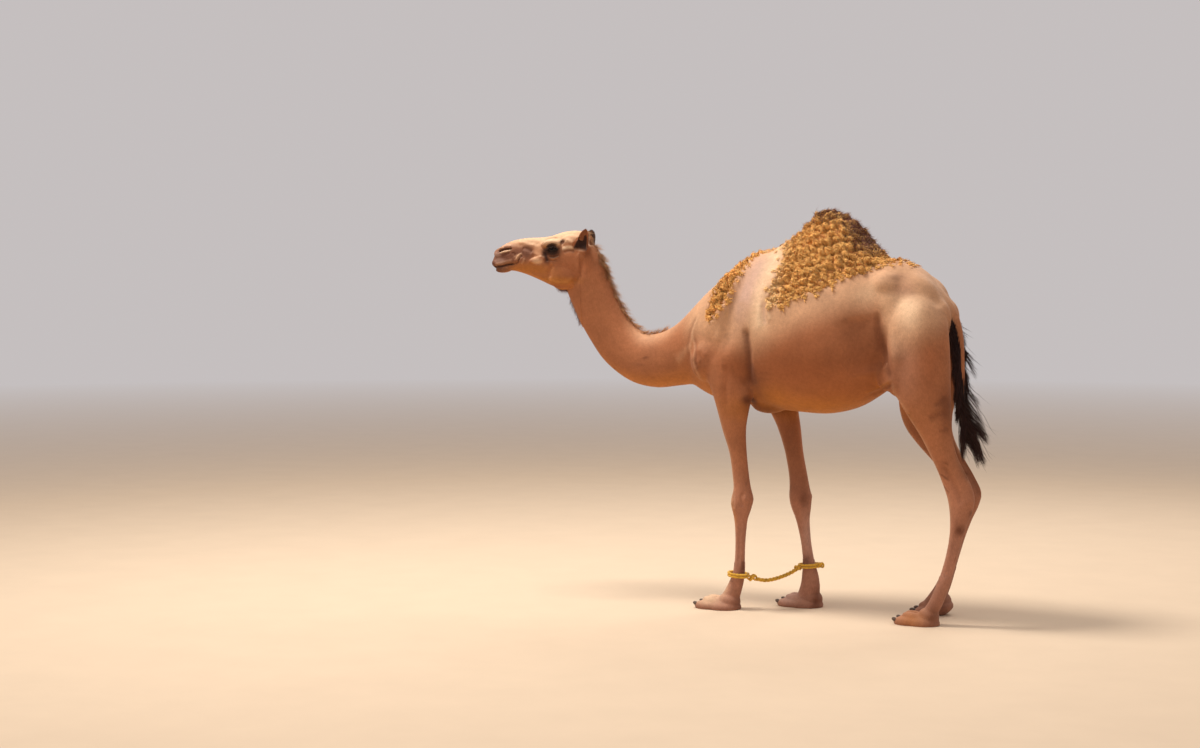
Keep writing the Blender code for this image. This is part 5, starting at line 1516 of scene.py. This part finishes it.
def fringes():
    """Locks down both edges of the dock, in the columns of BRUSH."""
    locks = []
    for step in range(FRINGE_LOCKS):
        at = 0.17 + 0.056 * step
        x, z, _, half = dock_at(at + 0.26)
        reach = half + 0.01 + 0.014 * (step % 3)
        odd = step % 2
        locks.append((at, LEFT, (x - 0.022, -reach - 0.026, z - 0.02 * odd), 62, 0.004))
        locks.append((at + 0.1, RIGHT, (x + 0.01 + 0.01 * odd, reach, z - 0.02 * odd), 44, 0.005))
    return locks


def lock_hairs(rng, at, side, end, hairs, wave):
    """One lock: each hair's middle line, its outward side, and how far down the dock it grows."""
    count = max(8, int(hairs * DENSITY))
    s = np.linspace(0, 1, TAIL_RINGS + 1)[None, :, None]
    along = at + (rng.uniform(-0.05, 0.05, count) if side else rng.uniform(-0.22, 0.14, count))
    x, z, depth, half = dock_at(along)
    towards = np.full(count, side) if side else np.where(rng.random(count) < 0.5, -1, 1)
    angle = rng.normal(-0.45, 0.3, count) if side else rng.normal(-0.4, 0.7, count)
    out = np.stack([np.sin(angle), towards * np.cos(angle), np.zeros(count)], axis=1)
    roots = np.stack([x, np.zeros(count), z], axis=1) + out * np.stack([depth, half, depth], axis=1) * 0.75
    ends = np.array(end) + rng.normal(0, 0.006, (count, 3)) * (1, 1, 2.5)
    share = np.concatenate([s**1.7, s**1.7, s**0.95], axis=2)
    line = roots[:, None] + (ends - roots)[:, None] * share
    phase = rng.uniform(0, 2 * np.pi)
    turns = rng.uniform(0.9, 1.6)
    angle = 2 * np.pi * turns * s + phase + rng.normal(0, 0.35, (count, 1, 1))
    swing = wave * np.sin(angle) * np.sin(np.pi * s)
    line = line + swing * np.array([0.85, 0.5, 0.0]) + 0.01 * np.sin(np.pi * s) * out[:, None]
    return line - DRAWING, out, along


def tail_locks():
    """Two black fringes down the edges of the dock, and below it a brush of pointed locks, blown back."""
    rng = np.random.default_rng(41)
    hairs = [lock_hairs(rng, *lock) for lock in fringes() + BRUSH]
    count = sum(len(line) for line, _, _ in hairs)
    stray = rng.random(count) < 0.02
    lines, ups, places = (np.concatenate(column) for column in zip(*hairs))
    s = np.linspace(0, 1, TAIL_RINGS + 1)[None, :, None]
    lines[stray] += (s**2) * rng.uniform(0.02, 0.06, (int(stray.sum()), 1, 1)) * np.array([1.0, 0.0, 0.25])
    tones = varied(rng, all_one(TAIL_BLACK, count), 0.25)
    uv = np.stack([0.02 + 0.96 * rng.random(count), 0.02 + 0.96 * np.clip(places, 0, 1)], axis=1)
    return tufts("tail_locks", lines, ups, rng.uniform(0.0024, 0.005, count), tones, tones * 2.2, uv,
                 sides=3, flat=0.8, taper=0.4)


# ---- eyes, lashes, nails ----
# upper or lower, how many, length
LASH_ROWS = ((1, 150, 0.034), (-1, 50, 0.013))


def build_eye(side, word):
    """A dark ball with a clear bulge over the iris; gaze holds how far each point is from its middle."""
    bm = bmesh.new()
    bmesh.ops.create_uvsphere(bm, u_segments=48, v_segments=32, radius=EYE_RADIUS)
    turn = UPRIGHT.rotation_difference(eye_way(side)).to_matrix().to_4x4()
    for vert in bm.verts:
        share = vert.co.z / EYE_RADIUS
        vert.co *= 1.0 + EYE_BULGE * float(ease(np.array(share), 0.72, 0.95))
    obj = mesh_object("eyeball_" + word, moved(bm, Matrix.Translation(eye_centre(side)) @ turn))
    _, back, up, _ = eye_sight(points_of(obj.data), side)
    measure(obj.data, "gaze_back", back / EYE_RADIUS)
    measure(obj.data, "gaze_up", up / EYE_RADIUS)
    obj.data.shade_smooth()
    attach(obj, "root")
    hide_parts("eye_" + word)
    return obj


def lash_row(rng, side, upper, count, length):
    """One row of lashes: their middle lines, their outward sides and their roots' widths."""
    half, above, below = APERTURE
    centre, out = np.array(eye_centre(side)), np.array(eye_way(side))
    back = np.array(head_way(1.0, 0.1, 0.0))
    back = back - out * back.dot(out)
    back /= np.linalg.norm(back)
    up = np.cross(out, back) * side
    up *= np.sign(up[2]) / np.linalg.norm(up)
    t = rng.uniform(-0.96, 0.96, count)
    width = (1 - t**2) ** 0.75
    lift = np.where(upper > 0, above, below) * width + rng.uniform(0.0008, 0.004, count)
    a, b = t * half, upper * lift
    c = np.sqrt(np.clip(EYE_RADIUS**2 - a**2 - b**2, 1e-8, None))
    roots = centre + unit(a[:, None] * back + b[:, None] * up + c[:, None] * out) * (LID_RADIUS - 0.0015)
    fan = t[:, None] * back * 0.75
    drop = up * (-0.1 if upper > 0 else -0.45)
    ways = unit(out + fan + drop + rng.normal(0, 0.1, (count, 3)))
    over = unit(np.tile(up, (count, 1)) * upper - ways * (ways @ up)[:, None] * upper)
    lengths = length * rng.uniform(0.7, 1.15, count) * (0.75 + 0.25 * width)
    drift = np.tile(up * (-0.42 if upper > 0 else -0.15), (count, 1))
    lines = strands(roots, ways, over, lengths, 5, rise=(0.12, -0.05), drift=drift,
                    sway=rng.normal(0, 0.08, count))
    return lines, over, np.full(count, 0.0011 if upper > 0 else 0.0008)


def lashes():
    """Long drooping upper lashes and a short lower row on both eyes."""
    rng = np.random.default_rng(51)
    rows = [lash_row(rng, side, *row) for side in BOTH for row in LASH_ROWS]
    lines, ups, widths = (np.concatenate(column) for column in zip(*rows))
    tones = all_one(DARK, len(lines)) * 0.7
    uv = np.stack([0.05 + 0.9 * rng.random(len(lines)), 0.05 + 0.9 * rng.random(len(lines))], axis=1)
    return tufts("lashes", lines, ups, widths, tones, tones * 1.4, uv, taper=0.6)


def nails(foot):
    """The foot's two nails: blunt ridged caps over the tips of the toes."""
    toe_x, heel_x, y, half, tilt = FEET[foot]
    length = heel_x - toe_x
    height = NAIL_HEIGHT + 0.2 * length * math.sin(tilt)
    caps = []
    for out in BOTH:
        bm = bmesh.new()
        bmesh.ops.create_uvsphere(bm, u_segments=32, v_segments=20, radius=1.0)
        for vert in bm.verts:
            ridge = 1.0 + 0.03 * math.sin(14 * math.atan2(vert.co.y, vert.co.z))
            vert.co.y *= ridge * (1.0 - 0.25 * max(0.0, -vert.co.x))
            vert.co.z *= ridge if vert.co.z > 0 else 0.8
        matrix = (
            foot_turn(foot)
            @ Matrix.Translation(on_floor(toe_x + 0.05 * length, y + out * NAIL_OUT * half, height))
            @ Matrix.Rotation(math.radians(24), 4, "Y")
            @ Matrix.Diagonal((*NAIL_RADII, 1.0))
        )
        caps.append(moved(bm, matrix))
    obj = mesh_object(foot.replace("foot", "nails"), joined(caps))
    obj.data.shade_smooth()
    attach(obj, "root")
    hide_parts(foot.replace("foot", "nail_a"), foot.replace("foot", "nail_b"))
    return obj


# ---- the rope hobble ----
def lengths_along(points):
    """How far along the line each of its points lies."""
    steps = np.linalg.norm(np.diff(points, axis=0), axis=1)
    return np.concatenate([[0.0], np.cumsum(steps)])


def spread(route, count):
    """Evenly spread points on the smooth curve through the route's own points."""
    fine = smooth_rows(route, between=24)
    far = lengths_along(fine)
    wanted = np.linspace(0, far[-1], count)
    return np.stack([np.interp(wanted, far, fine[:, i]) for i in range(3)], axis=1) - DRAWING


def strand_path(centre, radius, pitch, start):
    """A path that winds round the centre line at that radius."""
    ahead = unit(np.gradient(centre, axis=0))
    side = unit(np.cross(ahead, np.array([0.0, 0.0, 1.0])))
    above = np.cross(side, ahead)
    angle = 2 * np.pi * lengths_along(centre) / pitch + start
    return centre + radius * (np.cos(angle)[:, None] * side + np.sin(angle)[:, None] * above)


def lobed_section(radius):
    """The three-lobed outline that a cord is drawn out from."""
    profile = bpy.data.curves.new("lobes", "CURVE")
    profile.dimensions = "2D"
    outline = profile.splines.new("POLY")
    outline.points.add(LOBE_POINTS - 1)
    for i, point in enumerate(outline.points):
        angle = 2 * math.pi * i / LOBE_POINTS
        reach = radius * (0.86 + 0.14 * abs(math.cos(1.5 * angle)))
        point.co = (reach * math.cos(angle), reach * math.sin(angle), 0, 1)
    outline.use_cyclic_u = True
    return shown("lobes", profile)


def twisted(name, paths, radius, twist):
    """Three-lobed cord along each path, all in one mesh. twist is the length of one turn of its lay."""
    section = lobed_section(radius)
    curve = bpy.data.curves.new(name, "CURVE")
    curve.dimensions = "3D"
    curve.bevel_mode = "OBJECT"
    curve.bevel_object = section
    curve.use_fill_caps = True
    for path in paths:
        line = curve.splines.new("POLY")
        line.points.add(len(path) - 1)
        far = 0.0
        for i, point in enumerate(line.points):
            if i:
                far += float(np.linalg.norm(path[i] - path[i - 1]))
            point.co = (*path[i], 1)
            point.tilt = 2 * math.pi * far / twist
    tube = shown(name + "_line", curve)
    graph = bpy.context.evaluated_depsgraph_get()
    mesh = bpy.data.meshes.new_from_object(tube.evaluated_get(graph))
    mesh.name = name
    bpy.data.objects.remove(tube)
    bpy.data.objects.remove(section)
    bm = bmesh.new()
    bm.from_mesh(mesh)
    bmesh.ops.remove_doubles(bm, verts=bm.verts, dist=1e-5)
    bmesh.ops.recalc_face_normals(bm, faces=bm.faces)
    bpy.data.meshes.remove(mesh)
    obj = mesh_object(name, bm)
    obj.data.shade_smooth()
    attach(obj, "root")
    return obj


def pastern_turns(x, y, z, half_length, half_width, fall):
    """Two turns of cord round a pastern, one above the other."""
    whole = 2 * np.pi * LOOP_TURNS
    angle = np.linspace(0, whole, LOOP_POINTS * LOOP_TURNS + 1) + LOOP_START
    share = (angle - LOOP_START) / whole
    run = np.cos(angle)
    ring = np.stack([x + half_length * run, y + half_width * np.sin(angle),
                     z + fall * run + LOOP_RISE * 2 * (ease(share, 0.42, 0.58) - 0.5)], axis=1)
    return ring - DRAWING


def knot_path(centre, radii, turn):
    """A trefoil pulled tight inside the knot's own egg shape."""
    t = np.linspace(0, 2 * np.pi, KNOT_POINTS, endpoint=False)
    across, along = np.sin(t) + 2 * np.sin(2 * t), np.cos(t) - 2 * np.cos(2 * t)
    shape = np.stack([across, along, -1.6 * np.sin(3 * t)], axis=1) / 3.0
    shape = shape * (np.array(radii) - STRAND_RADIUS) * np.array([1.0, 1.0, 1.15])
    c, s = math.cos(math.radians(turn)), math.sin(math.radians(turn))
    spin = np.array([[c, -s, 0], [s, c, 0], [0, 0, 1]])
    return np.vstack([shape, shape[:1]]) @ spin.T + np.array(centre) - DRAWING


def build_rope_pieces():
    centre = spread(SPAN, 110)
    starts = [turn * 2 * math.pi / 3 for turn in range(3)]
    laid = [strand_path(centre, LAID_RADIUS * LAID_APART, LAID_PITCH, start) for start in starts]
    span = twisted("hobble_rope", laid, LAID_RADIUS, STRAND_TWIST)
    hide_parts("hobble_span")
    knots = []
    for name, middle, radii, turn in KNOTS:
        path = knot_path(middle, radii, turn)
        knot = twisted(name.replace("hobble_", "rope_"), [path], STRAND_RADIUS, STRAND_TWIST)
        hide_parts(name)
        knots.append(knot)
    loops = []
    for name, row in (("rope_loop_left", LEFT_LOOP), ("rope_loop_right", RIGHT_LOOP)):
        loop = twisted(name, [pastern_turns(*row)], LOOP_RADIUS, LOOP_TWIST)
        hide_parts(name.replace("rope_", "hobble_"))
        loops.append(loop)
    return [span, *knots, *loops]


# ---- finishes ----
def opaque(colour):
    """The colour with a fourth part of 1, or a node's output as it is."""
    return colour if isinstance(colour, bpy.types.NodeSocket) else (*colour, 1.0)


class Finish:
    """A node material, with short ways to add and join its nodes."""

    def __init__(self, name, roughness, **constants):
        self.material = bpy.data.materials.new(name)
        self.material.use_nodes = True
        self.tree = self.material.node_tree
        self.shader = self.tree.nodes["Principled BSDF"]
        self.shader.inputs["Roughness"].default_value = roughness
        for socket, value in constants.items():
            self.shader.inputs[socket.replace("_", " ")].default_value = value

    def add(self, kind, inputs=None, **settings):
        """A new node. inputs gives its sockets numbers, or other nodes' outputs to read."""
        node = self.tree.nodes.new("ShaderNode" + kind)
        for name, value in settings.items():
            setattr(node, name, value)
        for name, value in (inputs or {}).items():
            if isinstance(value, bpy.types.NodeSocket):
                self.tree.links.new(value, node.inputs[name])
            else:
                node.inputs[name].default_value = value
        return node

    def attribute(self, name, output="Fac"):
        return self.add("Attribute", attribute_name=name).outputs[output]

    def places(self, stretch):
        """Object coordinates, scaled by stretch."""
        source = self.add("TexCoord").outputs["Object"]
        return self.add("Mapping", {"Vector": source, "Scale": stretch}).outputs["Vector"]

    def noise(self, scale, detail, roughness, stretch=(1.0, 1.0, 1.0)):
        settings = {"Vector": self.places(stretch), "Scale": scale, "Detail": detail, "Roughness": roughness}
        return self.add("TexNoise", settings).outputs["Fac"]

    def ranged(self, value, low, high, start=0.3, end=0.7):
        """The value, carried from start..end to low..high."""
        ends = {"From Min": start, "From Max": end, "To Min": low, "To Max": high}
        return self.add("MapRange", {"Value": value, **ends}).outputs["Result"]

    def plus(self, one, other):
        return self.add("Math", {0: one, 1: other}, operation="ADD").outputs["Value"]

    def times(self, one, other):
        return self.add("Math", {0: one, 1: other}, operation="MULTIPLY").outputs["Value"]

    def shaded(self, colour, value):
        """The colour, made lighter or darker by value."""
        return self.add("HueSaturation", {"Color": colour, "Value": value}).outputs["Color"]

    def blended(self, share, one, other):
        """A colour that goes from one to the other with share."""
        return self.add("Mix", {0: share, 6: opaque(one), 7: opaque(other)}, data_type="RGBA").outputs[2]

    def between(self, share, one, other):
        """A number that goes from one to the other with share."""
        return self.add("Mix", {0: share, 2: one, 3: other}, data_type="FLOAT").outputs[0]

    def coloured(self, colour):
        self.tree.links.new(colour, self.shader.inputs["Base Color"])

    def roughened(self, value):
        self.tree.links.new(value, self.shader.inputs["Roughness"])

    def bumped(self, height, strength, distance):
        node = self.add("Bump", {"Height": height, "Strength": strength, "Distance": distance})
        self.tree.links.new(node.outputs["Normal"], self.shader.inputs["Normal"])

    def on(self, *objects):
        for obj in objects:
            obj.data.materials.clear()
            obj.data.materials.append(self.material)


def coat_tone(finish):
    """The painted markings, with painted light and shade among them, and the coat's own mottling over them.
    """
    broad = finish.noise(7.0, 5.0, 0.6)
    fine = finish.noise(55.0, 3.0, 0.6)
    value = finish.times(finish.ranged(broad, 0.88, 1.12), finish.ranged(fine, 0.92, 1.08))
    return finish.shaded(finish.attribute("tone", "Color"), value)


def hide_finish():
    finish = Finish("short coat over hide", 0.75, Sheen_Weight=0.06, Sheen_Roughness=0.45,
                    Sheen_Tint=(1.0, 0.8, 0.62, 1.0), Specular_IOR_Level=0.2)
    level = finish.noise(1.0, 4.0, 0.6, stretch=(70, 420, 420))
    down = finish.noise(1.0, 4.0, 0.6, stretch=(420, 420, 70))
    streaks = finish.between(finish.attribute("upright_lie"), level, down)
    creases = finish.noise(38.0, 6.0, 0.62)
    finish.coloured(finish.shaded(coat_tone(finish), finish.ranged(streaks, 0.82, 1.16)))
    finish.roughened(finish.ranged(streaks, 0.6, 0.82))
    finish.bumped(finish.plus(streaks, creases), 0.55, 0.0014)
    return finish


def hair_finish(name, roughness):
    finish = Finish(name, roughness, Sheen_Weight=0.05, Sheen_Roughness=0.4,
                    Sheen_Tint=(1.0, 0.82, 0.64, 1.0), Specular_IOR_Level=0.22)
    fibres = finish.noise(520.0, 2.0, 0.6)
    finish.coloured(finish.shaded(coat_tone(finish), finish.ranged(fibres, 0.86, 1.14)))
    finish.roughened(finish.ranged(fibres, roughness - 0.08, roughness + 0.08))
    finish.bumped(fibres, 0.3, 0.0006)
    return finish


def eye_finish():
    """A pupil wider than tall in a brown iris, inside a paler rim."""
    finish = Finish("dark wet eye", 0.09, Coat_Weight=0.12, Coat_Roughness=0.02, Specular_IOR_Level=0.12)
    back = finish.attribute("gaze_back")
    up = finish.attribute("gaze_up")
    wide = finish.times(back, back)
    tall = finish.times(finish.times(up, up), 3.6)
    pupil = finish.plus(wide, tall)
    ring = finish.plus(wide, finish.times(up, up))
    fibres = finish.noise(420.0, 3.0, 0.6)
    brown = finish.blended(finish.ranged(ring, 0.0, 1.0, 0.05, 0.55), (0.024, 0.011, 0.006),
                           (0.018, 0.01, 0.007))
    iris = finish.shaded(brown, finish.ranged(fibres, 0.7, 1.5))
    inside = finish.blended(finish.ranged(pupil, 0.0, 1.0, 0.13, 0.17), (0.002, 0.002, 0.003), iris)
    finish.coloured(finish.blended(finish.ranged(ring, 0.0, 1.0, 0.62, 0.74), inside, (0.03, 0.018, 0.014)))
    finish.roughened(finish.ranged(fibres, 0.06, 0.12))
    finish.bumped(fibres, 0.04, 0.0003)
    return finish


def horn_finish():
    finish = Finish("dark horn", 0.6, Specular_IOR_Level=0.2)
    bands = finish.noise(1.0, 4.0, 0.6, stretch=(60, 300, 300))
    wear = finish.noise(70.0, 4.0, 0.6)
    colour = finish.blended(finish.ranged(bands, 0.0, 1.0), (0.05, 0.031, 0.022), (0.15, 0.098, 0.068))
    finish.coloured(finish.shaded(colour, finish.ranged(wear, 0.75, 1.25)))
    finish.roughened(finish.ranged(wear, 0.38, 0.68))
    finish.bumped(bands, 0.5, 0.0008)
    return finish


def rope_finish():
    finish = Finish("yellow rope", 0.8, Sheen_Weight=0.2, Sheen_Roughness=0.5, Specular_IOR_Level=0.25)
    fibres = finish.noise(900.0, 3.0, 0.7)
    dirt = finish.noise(45.0, 5.0, 0.6)
    clean = finish.shaded((0.78, 0.44, 0.045, 1.0), finish.ranged(fibres, 0.7, 1.3))
    finish.coloured(finish.blended(finish.ranged(dirt, 0.0, 0.6, 0.5, 0.72), clean, (0.25, 0.15, 0.06)))
    finish.roughened(finish.ranged(dirt, 0.7, 0.95))
    finish.bumped(fibres, 0.6, 0.0008)
    return finish


def floor_finish():
    """Pale ground that fades into the backdrop's own tone far from the model."""
    finish = Finish("pale floor", 0.95, Specular_IOR_Level=0.0)
    grain = finish.noise(3.0, 6.0, 0.6)
    far = finish.add("VectorMath", {0: finish.places((1.0, 1.0, 0.0))}, operation="LENGTH").outputs["Value"]
    faded = finish.ranged(far, 0.0, 1.0, 7.0, 26.0)
    near = finish.shaded((*FLOOR_TONE, 1.0), finish.ranged(grain, 0.98, 1.02))
    finish.coloured(finish.blended(faded, near, (0.0, 0.0, 0.0)))
    glow = finish.blended(faded, (0.0, 0.0, 0.0), tuple(WORLD_STRENGTH * part for part in WORLD_TONE))
    finish.tree.links.new(glow, finish.shader.inputs["Emission Color"])
    finish.shader.inputs["Emission Strength"].default_value = 1.0
    finish.bumped(finish.noise(60.0, 4.0, 0.6), 0.05, 0.002)
    return finish


# ---- stage, light and camera ----
def set_camera():
    data = bpy.data.cameras.new("camera")
    data.sensor_width = 36.0
    data.lens = CAMERA_LENS
    data.clip_end = 200.0
    camera = shown("camera", data)
    camera.location = CAMERA_AT
    camera.rotation_euler = (math.radians(90 - CAMERA_DIP), 0.0, CAMERA_TURN)
    bpy.context.scene.camera = camera


def add_area_light(name, at, towards, size, power, colour):
    data = bpy.data.lights.new(name, "AREA")
    data.shape = "DISK"
    data.size = size
    data.energy = power
    data.color = colour
    light = shown(name, data)
    light.location = at
    light.rotation_euler = (Vector(towards) - Vector(at)).to_track_quat("-Z", "Y").to_euler()


def set_stage():
    bm = bmesh.new()
    bmesh.ops.create_circle(bm, cap_ends=True, segments=96, radius=FLOOR_RADIUS)
    bmesh.ops.translate(bm, vec=(0, 0, -FLOOR_DROP), verts=bm.verts)
    floor = mesh_object("floor", bm)
    floor_finish().on(floor)
    world = bpy.data.worlds.new("studio")
    world.use_nodes = True
    backdrop = world.node_tree.nodes["Background"].inputs
    backdrop["Color"].default_value = (*WORLD_TONE, 1.0)
    backdrop["Strength"].default_value = WORLD_STRENGTH
    bpy.context.scene.world = world
    bpy.context.scene.view_settings.view_transform = "Standard"
    for row in LIGHTS:
        add_area_light(*row)


# ---- the model ----
FLESH_NODES = [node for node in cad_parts
               if node.startswith(("head", "neck", "trunk", "hump", "tail_dock", "ear_"))
               or node.endswith(("forearm", "cannon", "foot", "thigh", "gaskin"))]


def main():
    set_camera()
    rope_finish().on(*build_rope_pieces())
    skin = build_skin()
    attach(skin, "root")
    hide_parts(*FLESH_NODES)
    hide_finish().on(skin)
    eye_finish().on(build_eye(LEFT, "left"), build_eye(RIGHT, "right"))
    horn_finish().on(*[nails(foot) for foot in FEET])
    short = hair_finish("short coat", 0.66)
    matted = hair_finish("matted ochre wool", 0.85)
    dark = hair_finish("long dark hair", 0.5)
    for piece in grow_coat(skin):
        finish, slot = (short, "tan_coat") if piece.name.startswith("coat") else (matted, "ochre_wool")
        if piece.name.endswith(("crest", "mane", "tuft", "tufts")):
            finish, slot = dark, "dark_hair"
        finish.on(piece)
    tail = tail_locks()
    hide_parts("tail_hair")
    for piece in (tail, lashes()):
        dark.on(piece)
    set_stage()


main()
